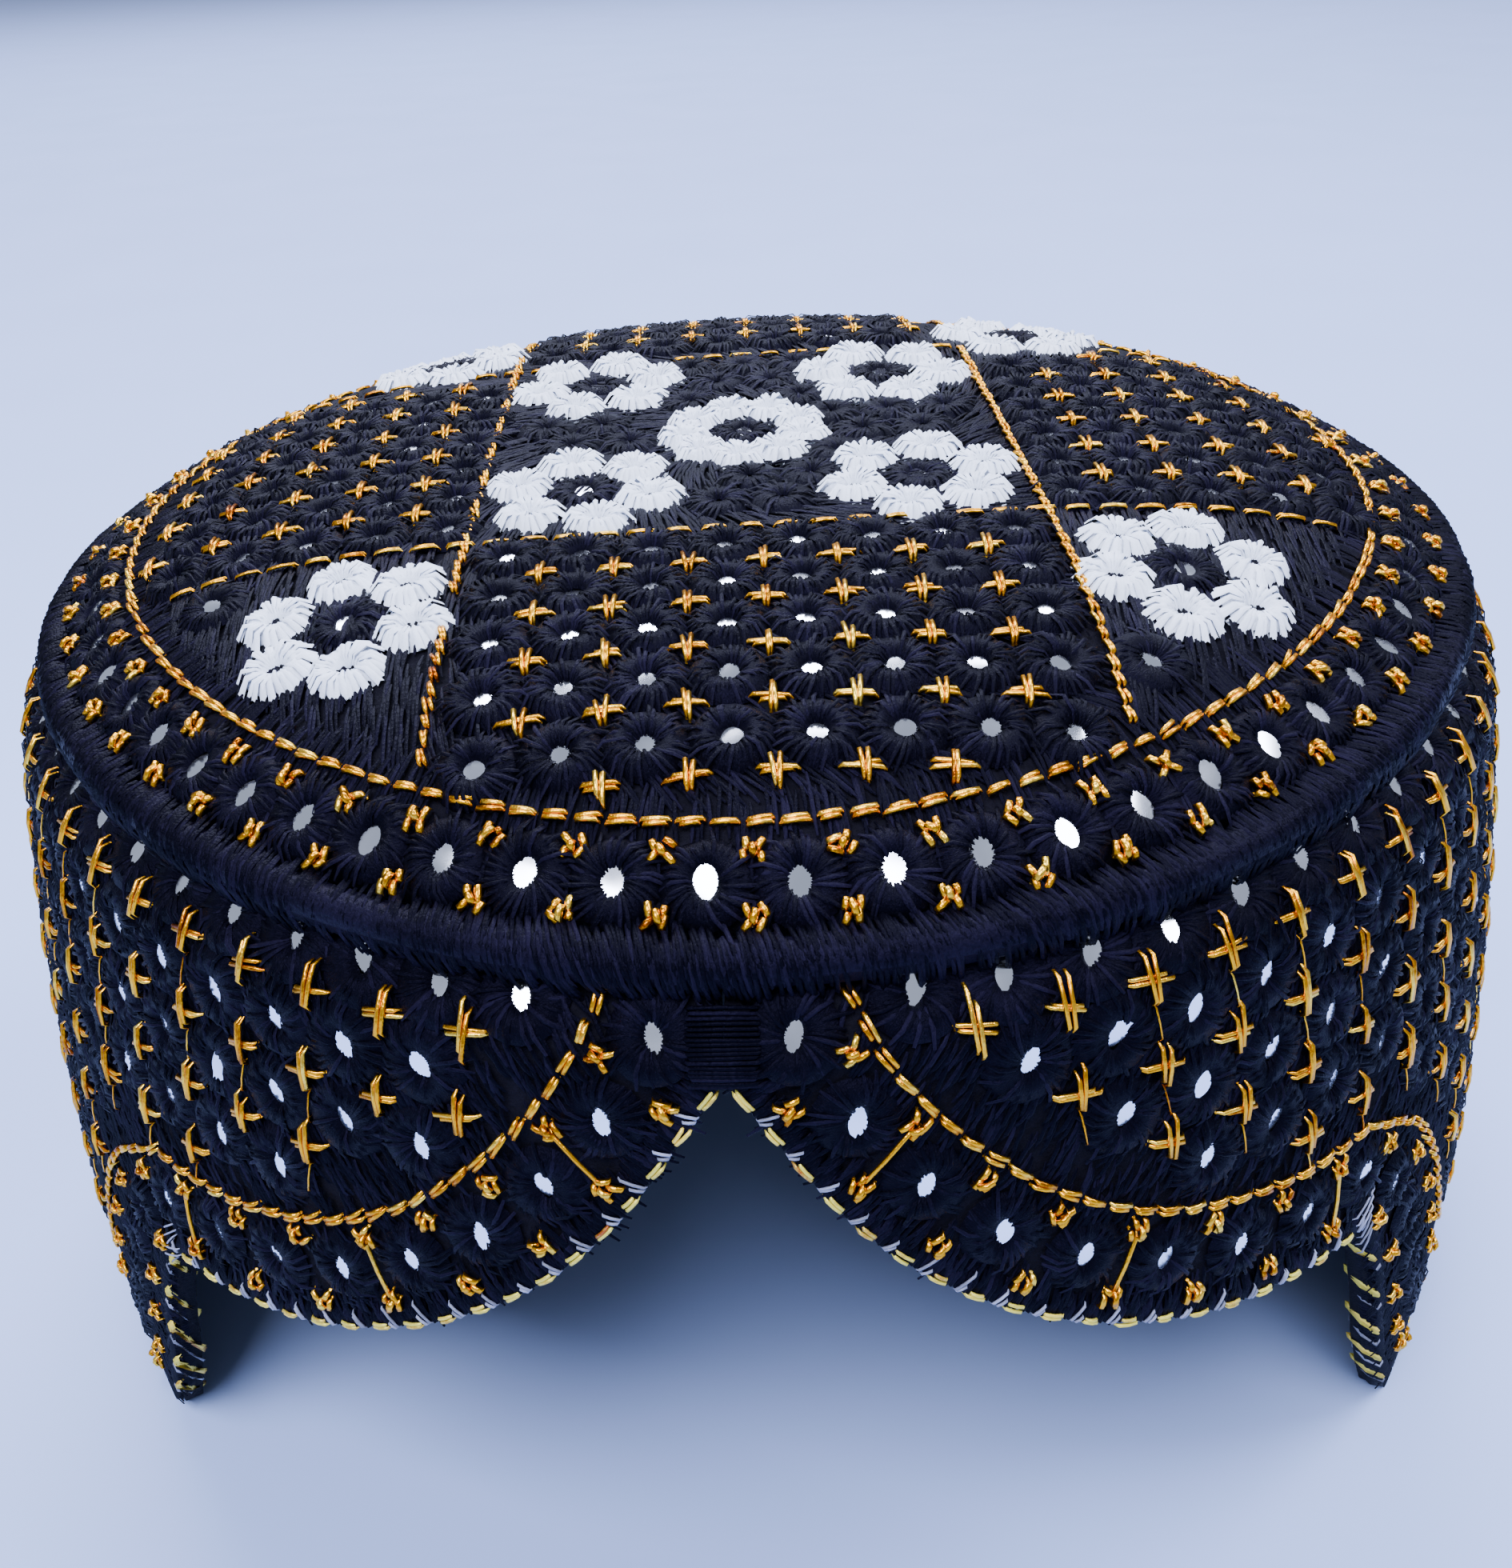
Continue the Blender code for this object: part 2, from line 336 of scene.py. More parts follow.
def smooth_read(at, marks, values):
    """Read values at marks through a curve that bends smoothly at each of them."""
    slope = np.gradient(values, marks)
    index = np.clip(np.searchsorted(marks, at, side="right") - 1, 0, len(marks) - 2)
    width = marks[index + 1] - marks[index]
    t = (at - marks[index]) / width
    h00 = 2 * t ** 3 - 3 * t ** 2 + 1
    h10 = t ** 3 - 2 * t ** 2 + t
    h01 = -2 * t ** 3 + 3 * t ** 2
    h11 = t ** 3 - t ** 2
    start = h00 * values[index] + h10 * width * slope[index]
    return start + h01 * values[index + 1] + h11 * width * slope[index + 1]


class Threads:
    """Strands of thread gathered for one mesh, in millimetres."""

    def __init__(self, seed):
        self.rng = np.random.default_rng(seed)
        self.points = []
        self.quads = []
        self.uvs = []
        self.tones = []
        self.count = 0

    def add(self, centre, up, half_width, height, ring=3, closed=False):
        """Add strands: centre lines (n, s, 3), upward directions, half widths and heights."""
        number, stations, _ = centre.shape
        along = np.gradient(centre, axis=1)
        side = unit(np.cross(along, up)) * np.broadcast_to(half_width, (number, stations))[..., None]
        lift = unit(up) * np.broadcast_to(height, (number, stations))[..., None]
        swing = np.linspace(0.0, 2.0 * np.pi if closed else np.pi, ring, endpoint=not closed)
        grid = (centre[:, :, None] + np.cos(swing)[:, None] * side[:, :, None]
                + np.sin(swing)[:, None] * lift[:, :, None])
        steps = np.linalg.norm(np.diff(centre, axis=1), axis=2)
        run = np.concatenate([np.zeros((number, 1)), np.cumsum(steps, axis=1)], axis=1)
        around = np.arange(ring) / ring * 2.0 * np.abs(np.broadcast_to(half_width, (number, stations)).max())
        uv = np.stack(np.broadcast_arrays(run[:, :, None], around[None, None, :]), -1)
        tone = self.rng.random(number)
        index = np.arange(number * stations * ring).reshape(number, stations, ring) + self.count
        following = np.roll(index, -1, axis=2)
        last = ring if closed else ring - 1
        quads = np.stack([index[:, :-1, :last], index[:, 1:, :last],
                          following[:, 1:, :last], following[:, :-1, :last]], -1)
        self.points.append(grid.reshape(-1, 3))
        self.quads.append(quads.reshape(-1, 4))
        self.uvs.append(uv.reshape(-1, 2))
        self.tones.append(np.repeat(tone, stations * ring))
        self.count += number * stations * ring

    def patch(self, grid, uv):
        """Add strips of surface from points (n, rows, columns, 3) that lie under the strands."""
        number, rows, columns, _ = grid.shape
        index = np.arange(number * rows * columns).reshape(number, rows, columns) + self.count
        quads = np.stack([index[:, :-1, :-1], index[:, 1:, :-1], index[:, 1:, 1:], index[:, :-1, 1:]], -1)
        self.points.append(grid.reshape(-1, 3))
        self.quads.append(quads.reshape(-1, 4))
        self.uvs.append(uv.reshape(-1, 2))
        self.tones.append(np.full(index.size, 0.5))
        self.count += index.size

    def make(self, name, material):
        """Turn what was gathered into one piece of the cap."""
        mesh = array_mesh(name, np.concatenate(self.points), np.concatenate(self.quads))
        loops = np.concatenate(self.quads).ravel()
        layer = mesh.uv_layers.new(name="thread")
        layer.data.foreach_set("uv", (np.concatenate(self.uvs)[loops] * MM).astype(np.float32).ravel())
        shade = mesh.attributes.new("tone", "FLOAT", "POINT")
        shade.data.foreach_set("value", np.concatenate(self.tones).astype(np.float32))
        return new_piece(name, mesh, material)


def array_mesh(name, points, quads):
    """A smooth mesh from points in millimetres and four-cornered faces."""
    mesh = bpy.data.meshes.new(name)
    mesh.vertices.add(len(points))
    # Nothing passes through the table
    above = np.maximum(points, (-np.inf, -np.inf, 0.0))
    mesh.vertices.foreach_set("co", (above * MM).astype(np.float32).ravel())
    mesh.loops.add(quads.size)
    mesh.loops.foreach_set("vertex_index", quads.astype(np.int32).ravel())
    mesh.polygons.add(len(quads))
    mesh.polygons.foreach_set("loop_start", np.arange(0, quads.size, 4, dtype=np.int32))
    mesh.update(calc_edges=True)
    mesh.validate()
    mesh.shade_smooth()
    return mesh


def new_piece(name, mesh, material):
    """A shown object that rides with the cap and takes its finish from a slot."""
    piece = bpy.data.objects.new(name, mesh)
    bpy.context.scene.collection.objects.link(piece)
    mesh.materials.append(material)
    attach(piece, "root")
    return piece


def local(point, first, second, normal, x, y, z):
    """World points of local coordinates in each of a set of frames."""
    return (point[:, None] + x[..., None] * first[:, None] + y[..., None] * second[:, None]
            + z[..., None] * normal[:, None])


def opening_radius(turn, opening, slant):
    """Distance from the middle of an almond-shaped opening to its edge, from its half sizes and slant."""
    across = np.abs(np.cos(turn - slant)) / opening[0]
    along = np.abs(np.sin(turn - slant)) / opening[1]
    return (across ** 1.7 + along ** 1.7) ** (-1.0 / 1.7)


def buttonhole_cells(threads, place, opening, outer, count, rise, fray=0.10, swirl=0.3, slant=0.0, tips=0.7,
                     widest=0.22):
    """Mounds of radial threads that arch from a small opening out to the cloth, over a soft padding."""
    point, first, second, normal = place
    number = len(point)
    rng = threads.rng
    stations = np.array([0.0, 0.20, 0.62, 1.0])
    bulge = np.array([0.05, 0.78, 0.95, -0.15]) * rise
    start = rng.random((number, 1)) * 2.0 * np.pi
    turn = start + (np.arange(count) + rng.normal(0.0, 0.22, (number, count))) * 2.0 * np.pi / count
    grown = 1.0 + rng.normal(0.0, 0.07, (number, 1)) + rng.normal(0.0, 0.04, (number, count))
    hole = opening_radius(turn, opening, slant + rng.normal(0.0, 0.12, (number, 1))) * grown
    far = outer * (1.0 + rng.normal(0.0, 0.03, (number, 1)) + rng.normal(0.0, fray, (number, count)))
    lean = swirl * np.sign(rng.random((number, 1)) - 0.5) + rng.normal(0.0, 0.07, (number, count))
    radius = hole[..., None] + (far - hole)[..., None] * stations
    angle = turn[..., None] + lean[..., None] * (stations - 0.2)
    height = bulge * (1.0 + rng.normal(0.0, 0.13, (number, count, 1)))
    height = height + rng.normal(0.0, 0.04, (number, count, 1))
    x = (radius * np.cos(angle)).reshape(number, -1)
    y = (radius * np.sin(angle)).reshape(number, -1)
    z = np.broadcast_to(height, radius.shape).reshape(number, -1)
    centre = local(point, first, second, normal, x, y, z).reshape(number * count, len(stations), 3)
    up = np.repeat(normal, count, axis=0)[:, None] + np.zeros_like(centre)
    taper = np.array([0.8, 1.0, 1.0, tips])
    half = np.minimum((np.pi * radius / count).reshape(number * count, -1), widest) * taper
    threads.add(centre - up * 0.10, up, half, np.maximum(half * 0.7, 0.10))
    padding(threads, place, opening, outer * 0.93, rise * 0.84, slant)


def padding(threads, place, opening, outer, rise, slant):
    """The mound under the loose threads, with its filaments running outwards from the opening."""
    point, first, second, normal = place
    number = len(point)
    sides = 18
    swing = np.linspace(0.0, 2.0 * np.pi, sides + 1)
    hole = opening_radius(swing, opening, slant) * 1.05
    rings = []
    shares = (0.0, 0.12, 0.42, 0.78, 1.0)
    for share, lift in zip(shares, (-0.1, 0.55, 1.0, 0.55, -0.45)):
        radius = np.broadcast_to(hole + (outer - hole) * share, (number, sides + 1))
        height = np.full((number, sides + 1), rise * lift)
        x = radius * np.cos(swing)
        y = radius * np.sin(swing)
        rings.append(local(point, first, second, normal, x, y, height))
    grid = np.stack(rings, 1)
    along = np.array(shares)[None, :, None] * outer + threads.rng.random((number, 1, 1)) * 40.0
    around = swing[None, None, :] * outer * 0.6 + threads.rng.random((number, 1, 1)) * 40.0
    uv = np.stack(np.broadcast_arrays(along, around), -1)
    threads.patch(grid, uv)


def mirrors(name, place, radius, tilt, seed):
    """Small silvered discs under the openings, each set at a slight tilt of its own."""
    point, first, second, normal = place
    number = len(point)
    rng = np.random.default_rng(seed)
    sides = 10
    swing = np.arange(sides) / sides * 2.0 * np.pi
    lean = rng.normal(0.0, tilt, (number, 2))
    rings = []
    for share, lift in ((1.0, 0.0), (0.5, 0.05)):
        x = np.broadcast_to(radius * share * np.cos(swing), (number, sides))
        y = np.broadcast_to(radius * share * np.sin(swing), (number, sides))
        z = lift + x * lean[:, :1] + y * lean[:, 1:]
        rings.append(local(point, first, second, normal, x, y, z))
    points = np.stack(rings, 1)
    index = np.arange(number * 2 * sides).reshape(number, 2, sides)
    following = np.roll(index, -1, axis=2)
    quads = [np.stack([index[:, 0], following[:, 0], following[:, 1], index[:, 1]], -1).reshape(-1, 4)]
    middle = index[:, 1]
    for k in range(sides // 2 - 1):
        corners = (k, k + 1, sides - 2 - k, sides - 1 - k)
        quads.append(np.stack([middle[:, corner] for corner in corners], -1))
    mesh = array_mesh(name, points.reshape(-1, 3), np.concatenate(quads))
    return new_piece(name, mesh, shared(silvered_glass))


def straight_stitches(threads, place, x0, y0, x1, y1, thickness, arch, sink=0.0):
    """Stitches from one local point to another that rise out of the cloth and dive back into it."""
    point, first, second, normal = place
    share = np.array([0.0, 0.10, 0.5, 0.90, 1.0])
    rise = np.array([-sink, 0.82 * arch, arch, 0.82 * arch, -sink])
    x = x0[:, None] + (x1 - x0)[:, None] * share
    y = y0[:, None] + (y1 - y0)[:, None] * share
    z = rise + np.zeros_like(x)
    centre = local(point, first, second, normal, x, y, z)
    up = normal[:, None] + np.zeros_like(centre)
    half = thickness * 0.5 * np.array([0.7, 1.0, 1.05, 1.0, 0.7])
    threads.add(centre, up, half, half, ring=5, closed=True)


def crosses(threads, place, up_arm, down_arm, side_arm, thickness, lift, tilt=0.0):
    """Plus-shaped motifs: two crosswise gold threads, and over them two upright ones that spread."""
    number = len(place[0])
    rng = threads.rng
    for k in (-1, 1):
        off = k * thickness * 0.40 + rng.normal(0.0, 0.08, number)
        slant = tilt * side_arm + rng.normal(0.0, 0.16, number)
        left = -side_arm * (1 + rng.normal(0, 0.16, number))
        right = side_arm * (1 + rng.normal(0, 0.16, number))
        straight_stitches(threads, place, left, off - slant, right, off + slant, thickness, lift)
    for k in (-1, 1):
        off = k * thickness * 0.36 + rng.normal(0.0, 0.06, number)
        spread = k * 0.14 + rng.normal(0.0, 0.16, number)
        low = -down_arm * (1 + rng.normal(0, 0.14, number))
        high = up_arm * (1 + rng.normal(0, 0.14, number))
        raised = lift + thickness * 0.75
        straight_stitches(threads, place, off, low, off + spread, high, thickness, raised)


# One knot's short loops: place across and along, lift over the rest, as shares of the knot's size
KNOT_LOOPS = ((-0.55, 0.50, 0.0), (0.55, 0.50, 0.0), (-0.55, -0.50, 0.0),
              (0.55, -0.50, 0.0), (0.0, 0.0, 0.5))


def knots(threads, place, size, thickness, lift):
    """Small clusters of plump gold loops: four round the middle and one over them."""
    number = len(place[0])
    rng = threads.rng
    for across, along, raised in KNOT_LOOPS:
        x = across * size + rng.normal(0.0, 0.10, number)
        y = along * size + rng.normal(0.0, 0.10, number)
        turn = rng.normal(np.pi / 2.0, 0.5, number)
        reach = size * 0.62 * (1.0 + rng.normal(0.0, 0.15, number))
        dx = reach * np.cos(turn)
        dy = reach * np.sin(turn)
        straight_stitches(threads, place, x - dx, y - dy, x + dx, y + dy, thickness, lift + raised * size)


def dashes(threads, place, length, thickness, gap, slant, lift):
    """Dashes of two gold threads laid along a path."""
    number = len(place[0])
    rng = threads.rng
    for k in (-0.5, 0.5):
        off = k * gap + rng.normal(0.0, 0.08, number)
        half = length / 2.0 * (1.0 + rng.normal(0.0, 0.10, number))
        tip = slant * length / 2.0 + rng.normal(0.0, 0.08, number)
        straight_stitches(threads, place, -half, off - tip, half, off + tip, thickness, lift)


def scattered(a_range, b_range, count, rng):
    """Random places in a box of two surface coordinates."""
    return rng.uniform(*a_range, count), rng.uniform(*b_range, count)


def laid_stitches(threads, place, turn, length, thickness, lift):
    """Fill of flat stitches that each run at a turn from the place's first direction."""
    rng = threads.rng
    number = len(place[0])
    half = length / 2.0 * (1.0 + rng.normal(0.0, 0.15, number))
    x = half * np.cos(turn)
    y = half * np.sin(turn)
    point, first, second, normal = place
    share = np.array([-1.0, -0.45, 0.45, 1.0])
    rise = np.array([-0.35, 1.0, 1.0, -0.35]) * lift
    rise = rise[None, :] * (1.0 + rng.normal(0.0, 0.15, (number, 1)))
    centre = local(point, first, second, normal, x[:, None] * share, y[:, None] * share, rise)
    up = normal[:, None] + np.zeros_like(centre)
    width = thickness / 2.0 * np.array([0.6, 1.0, 1.0, 0.6])
    threads.add(centre - up * thickness * 0.3, up, width, thickness * 0.35)


def add_node(tree, kind, settings=None, links=None):
    """Add a shader node with its settings and its inputs' values or links."""
    node = tree.nodes.new(kind)
    for name, value in (settings or {}).items():
        setattr(node, name, value)
    for name, value in (links or {}).items():
        if isinstance(value, bpy.types.NodeSocket):
            tree.links.new(value, node.inputs[name])
        else:
            node.inputs[name].default_value = value
    return node


def blank_material(name):
    """A material with nothing but its output and shader."""
    material = bpy.data.materials.new(name)
    material.use_nodes = True
    tree = material.node_tree
    tree.nodes.clear()
    shader = add_node(tree, "ShaderNodeBsdfPrincipled")
    add_node(tree, "ShaderNodeOutputMaterial", links={"Surface": shader.outputs["BSDF"]})
    return material, tree, shader


def rgba(colour):
    """A colour with full opacity."""
    return (*colour, 1.0)


def spun_thread(name, colours, roughness, sheen, twist_mm, bump, metallic=0.0, specular=0.5, tint="#ffffff"):
    """Thread spun from fine filaments: each strand has its own tone, and painted highlights and painted
    shade run along its filaments and in broad patches.
    """
    material, tree, shader = blank_material(name)
    tone = add_node(tree, "ShaderNodeAttribute", {"attribute_name": "tone"})
    place = add_node(tree, "ShaderNodeUVMap", {"uv_map": "thread"})
    # Filaments are drawn several times as wide as real ones, so that they show
    per_metre = 1.0 / (twist_mm * MM)
    stretch = add_node(tree, "ShaderNodeMapping",
                       links={"Vector": place.outputs["UV"], "Scale": (0.35 * per_metre, per_metre, 1.0)})
    filaments = add_node(tree, "ShaderNodeTexNoise",
                         links={"Vector": stretch.outputs["Vector"], "Scale": 1.0, "Detail": 2.0,
                                "Roughness": 0.6})
    body = add_node(tree, "ShaderNodeTexCoord")
    patches = add_node(tree, "ShaderNodeTexNoise", {},
                       {"Vector": body.outputs["Object"], "Scale": 1.0 / (9.0 * MM), "Detail": 2.0})
    total = tone.outputs["Fac"]
    for part in (filaments, patches):
        total = add_node(tree, "ShaderNodeMath", {"operation": "ADD"},
                         {0: total, 1: part.outputs["Fac"]}).outputs["Value"]
    # Painted light: noise along the filaments and in patches, with each strand's tone, moves the colour from
    # its painted shade to its painted highlight
    level = add_node(tree, "ShaderNodeMapRange",
                     links={"Value": total, "From Min": 0.85, "From Max": 2.15})
    colour = colour_ramp(tree, level.outputs["Result"], colours)
    relief = add_node(tree, "ShaderNodeBump",
                      links={"Height": filaments.outputs["Fac"], "Strength": bump, "Distance": 0.15 * MM})
    tree.links.new(colour.outputs["Color"], shader.inputs["Base Color"])
    tree.links.new(relief.outputs["Normal"], shader.inputs["Normal"])
    shader.inputs["Roughness"].default_value = roughness
    shader.inputs["Metallic"].default_value = metallic
    shader.inputs["Specular IOR Level"].default_value = specular
    shader.inputs["Specular Tint"].default_value = rgba(hex_colour(tint))
    shader.inputs["Sheen Weight"].default_value = sheen
    shader.inputs["Sheen Roughness"].default_value = 0.35
    shader.inputs["Sheen Tint"].default_value = rgba(colours[-1])
    return material


def colour_ramp(tree, factor, colours):
    """A ramp through colours at even steps."""
    ramp = add_node(tree, "ShaderNodeValToRGB", links={"Fac": factor})
    stops = ramp.color_ramp.elements
    while len(stops) < len(colours):
        stops.new(0.5)
    for number, colour in enumerate(colours):
        stops[number].position = number / (len(colours) - 1)
        stops[number].color = rgba(colour)
    return ramp


def black_rayon():
    """Spun viscose rayon: nearly black, with a navy sheen that is partly real, from its blue-tinted
    specular, and partly painted into its colour along the filaments.
    """
    colours = bpy.context.scene.cap_colours
    tones = (colours.black, colours.black, colours.navy)
    return spun_thread("black_rayon_thread", tones, 0.48, 0.0, 0.14, 0.9, specular=0.08, tint="#a49ce0")


def gold_zari():
    """Metallised strip wound on a cotton core: bright glints from the metal, and a colour from orange to
    pale that is partly each strand's own tone and partly painted shade and painted glints.
    """
    colours = bpy.context.scene.cap_colours
    tones = (colours.gold_dark, colours.gold, colours.gold, colours.gold_pale)
    return spun_thread("gold_zari_thread", tones, 0.30, 0.0, 0.22, 0.7, metallic=1.0)


def white_cotton():
    """Mercerised cotton: clean white with a soft silky bloom."""
    white = bpy.context.scene.cap_colours.white
    # The darker copy, at four fifths of the white, is painted shade, mixed in by noise along with each
    # strand's own tone
    return spun_thread("white_mercerised_cotton", ([v * 0.80 for v in white], white), 0.55, 0.1, 0.20, 0.5)


def yellow_cotton():
    """Mercerised cotton with a metallised strip laid in: yellow, with dull gold glints, partly from the
    metal and partly painted in with the gold shade and gold glint colours.
    """
    colours = bpy.context.scene.cap_colours
    tones = (colours.gold_dark, colours.hem_yellow, colours.hem_yellow, colours.gold_pale)
    return spun_thread("yellow_cotton_with_zari", tones, 0.40, 0.1, 0.20, 0.6, metallic=0.3)


def grey_cotton():
    """Mercerised cotton dyed silver grey, used beside the yellow at the hem."""
    grey = bpy.context.scene.cap_colours.hem_grey
    return spun_thread("grey_mercerised_cotton", ([v * 0.35 for v in grey], grey), 0.45, 0.1, 0.20, 0.4)


def silvered_glass():
    """Thin blown glass silvered behind: clear reflections, softened a little by scratches."""
    material, tree, shader = blank_material("silvered_blown_glass")
    body = add_node(tree, "ShaderNodeTexCoord")
    blotch = add_node(tree, "ShaderNodeTexNoise", {},
                      {"Vector": body.outputs["Object"], "Scale": 1.0 / (5.0 * MM), "Detail": 1.0})
    level = add_node(tree, "ShaderNodeMapRange",
                     links={"Value": blotch.outputs["Fac"], "From Min": 0.3, "From Max": 0.7,
                            "To Min": 0.05, "To Max": 0.22})
    tree.links.new(level.outputs["Result"], shader.inputs["Roughness"])
    shader.inputs["Base Color"].default_value = rgba(bpy.context.scene.cap_colours.mirror)
    shader.inputs["Metallic"].default_value = 1.0
    return material


def black_cotton():
    """Plain-woven black cotton under the stitches: matt, with a fine weave and lint, and a painted navy
    sheen that the weave's noise mixes in.
    """
    colours = bpy.context.scene.cap_colours
    material, tree, shader = blank_material("black_woven_cotton")
    body = add_node(tree, "ShaderNodeTexCoord")
    # The weave is drawn at 0.6 mm, about twice its real spacing, so that it shows
    stretch = add_node(tree, "ShaderNodeMapping",
                       links={"Vector": body.outputs["Object"], "Scale": (1.0 / (0.6 * MM),) * 3})
    weave = add_node(tree, "ShaderNodeTexNoise", {},
                     {"Vector": stretch.outputs["Vector"], "Scale": 1.0, "Detail": 3.0, "Roughness": 0.7})
    # Painted sheen: the weave's noise mixes the darkened black with the navy of the painted sheen
    colour = add_node(tree, "ShaderNodeMix", {"data_type": "RGBA"}, {"Factor": weave.outputs["Fac"]})
    colour.inputs["A"].default_value = rgba([v * 0.6 for v in colours.black])
    colour.inputs["B"].default_value = rgba([v * 0.7 for v in colours.navy])
    relief = add_node(tree, "ShaderNodeBump",
                      links={"Height": weave.outputs["Fac"], "Strength": 0.9, "Distance": 0.35 * MM})
    tree.links.new(colour.outputs["Result"], shader.inputs["Base Color"])
    tree.links.new(relief.outputs["Normal"], shader.inputs["Normal"])
    shader.inputs["Roughness"].default_value = 0.9
    shader.inputs["Specular IOR Level"].default_value = 0.12
    shader.inputs["Sheen Weight"].default_value = 0.04
    shader.inputs["Sheen Tint"].default_value = rgba(colours.navy)
    return material


# Materials made so far, by the name of the function that makes them
MADE = {}


def shared(maker):
    """A material made once and used by every piece that asks for it."""
    if maker.__name__ not in MADE:
        MADE[maker.__name__] = maker()
    return MADE[maker.__name__]


def closed_sheet(outer, inner, wrap):
    """Faces that join an outer and an inner grid of points into one closed shell."""
    rows, columns = outer.shape[:2]
    index = np.arange(rows * columns).reshape(rows, columns)
    if wrap:
        index = np.concatenate([index, index[:, :1]], axis=1)
    front = np.stack([index[:-1, :-1], index[1:, :-1], index[1:, 1:], index[:-1, 1:]], -1).reshape(-1, 4)
    back = front[:, ::-1] + rows * columns
    rims = []
    edges = [(index[-1, :-1], index[-1, 1:]), (index[0, 1:], index[0, :-1])]
    if not wrap:
        edges += [(index[1:, -1], index[:-1, -1]), (index[:-1, 0], index[1:, 0])]
    for here, there in edges:
        rims.append(np.stack([there, here, here + rows * columns, there + rows * columns], -1))
    points = np.concatenate([outer.reshape(-1, 3), inner.reshape(-1, 3)])
    return points, np.concatenate([front, back] + rims)


def lay_cloth(node, outer, inner, wrap):
    """Make the ground cloth that takes a solid's place, from its two faces."""
    name = node + "_cloth"
    mesh = array_mesh(name, *closed_sheet(outer, inner, wrap))
    piece = new_piece(name, mesh, shared(black_cotton))
    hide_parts(node)


class CAP_OT_crown_cloth(bpy.types.Operator):
    """Make the crown's black ground cloth"""
    bl_idname = "cap.crown_cloth"
    bl_label = "Crown cloth"

    def execute(self, context):
        inset = context.scene.cap_sizes.cloth_inset / MM
        share = np.concatenate([[0.002], np.linspace(0.05, 0.965, 30)])[:, None]
        angle = np.linspace(0.0, 2.0 * np.pi, 144, endpoint=False)[None, :]
        radius = share * rim_radius(angle)
        x = radius * np.cos(angle)
        y = radius * np.sin(angle)
        lay_cloth("crown", crown_point(x, y, -inset), crown_point(x, y, -CROWN_DEPTH), True)
        return {"FINISHED"}


class CAP_OT_wall_cloth(bpy.types.Operator):
    """Make the black ground cloth of the four wall panels"""
    bl_idname = "cap.wall_cloth"
    bl_label = "Wall cloth"

    def execute(self, context):
        inset = context.scene.cap_sizes.cloth_inset / MM
        for side, part in PANELS:
            front = part == "front"
            edge = 0.1 * sign_of(side)
            start = (NOTCH if front else SEAMS[side]) + edge
            end = (SEAMS[side] if front else sign_of(side) * 180.0) - edge
            # The columns crowd towards the steep end of the hem
            crowding = 1.3 if front else 1.8
            across = np.linspace(0.0, 1.0, 48 if front else 90)[None, :] ** crowding
            down = np.linspace(0.0, 1.0, 26)[:, None]
            azimuth = start + (end - start) * across
            depth = WALL_TOP + (hem_depth(azimuth, side, part) - WALL_TOP) * down
            azimuth = azimuth + np.zeros_like(depth)
            outer = wall_point(azimuth, depth, -inset)
            inner = wall_point(azimuth, depth, -WALL_DEPTH)
            if side == "left":
                outer = outer[:, ::-1]
                inner = inner[:, ::-1]
            lay_cloth(panel_node(side, part), outer, inner, False)
        return {"FINISHED"}


# Section of the rim from the crown over the cord to the wall:
# mm out from the cord's middle, mm up from it, and the outward and upward parts of its normal
RIM_SECTION = (
    (-2.7, 3.10, 0.55, 0.83),
    (-1.6, 2.60, 0.50, 0.87),
    (-0.5, 2.30, 0.30, 0.95),
    (0.8, 2.00, 0.45, 0.89),
    (1.8, 1.10, 0.80, 0.60),
    (2.2, -0.50, 1.00, 0.0),
    (1.7, -2.30, 0.97, -0.22),
    (1.2, -4.00, 0.99, 0.10),
)
# Share of the section that one stitch spans, stitches in all, their slant in radians and the cord's radius
RIM_REACH = 0.52
RIM_STITCHES = 3000
RIM_SLANT = 0.012
CORE_RADIUS = 2.15


def smooth_noise(rng, number, waves):
    """A closed run of smooth random values, about -1 to 1."""
    values = rng.normal(0.0, 0.6, waves)
    values = np.append(values, values[0])
    at = np.linspace(0.0, waves, number, endpoint=False)
    return smooth_read(at, np.arange(waves + 1), values)


class CAP_OT_rim(bpy.types.Operator):
    """Make the padded rim with its wrapping of satin stitches"""
    bl_idname = "cap.rim"
    bl_label = "Rim"

    def execute(self, context):
        threads = Threads(SEEDS["rim"])
        rng = threads.rng
        number = RIM_STITCHES
        angle = np.arange(number) / number * 2.0 * np.pi + rng.normal(0.0, 0.002, number)
        section = np.array(RIM_SECTION)
        marks = np.linspace(0.0, 1.0, len(section))
        start = rng.uniform(0.0, 1.0 - RIM_REACH, number) + rng.normal(0.0, 0.03, number)
        at = np.clip(start[:, None] + RIM_REACH * np.array([0.0, 0.2, 0.5, 0.8, 1.0]), 0.0, 1.0)
        sunk = np.array([-0.25, 0.0, 0.10, 0.0, -0.25]) + 0.14 * smooth_noise(rng, number, 80)[:, None]
        lean = (RIM_SLANT + 0.010 * smooth_noise(rng, number, 60) + rng.normal(0.0, 0.004, number))[:, None]
        along = angle[:, None] + lean * (2.0 * at - 1.0)
        tilt_out, tilt_up = (np.interp(at, marks, section[:, k]) for k in (2, 3))
        radius = rim_radius(along) + np.interp(at, marks, section[:, 0]) + sunk * tilt_out
        height = rim_height(along) - CORD_DROP + np.interp(at, marks, section[:, 1]) + sunk * tilt_up
        centre = round_point(along, radius, height)
        lift = round_point(along, tilt_out, tilt_up)
        threads.add(centre, lift, 0.22, 0.20)
        turn = np.linspace(0.0, 2.0 * np.pi, 361)[None, :]
        core = round_point(turn, rim_radius(turn), rim_height(turn) - CORD_DROP)
        upward = np.zeros_like(core) + [0.0, 0.0, 1.0]
        threads.add(core, upward, CORE_RADIUS, CORE_RADIUS, ring=12, closed=True)
        piece = threads.make("rim_satin", shared(black_rayon))
        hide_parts("rim_cord")
        return {"FINISHED"}


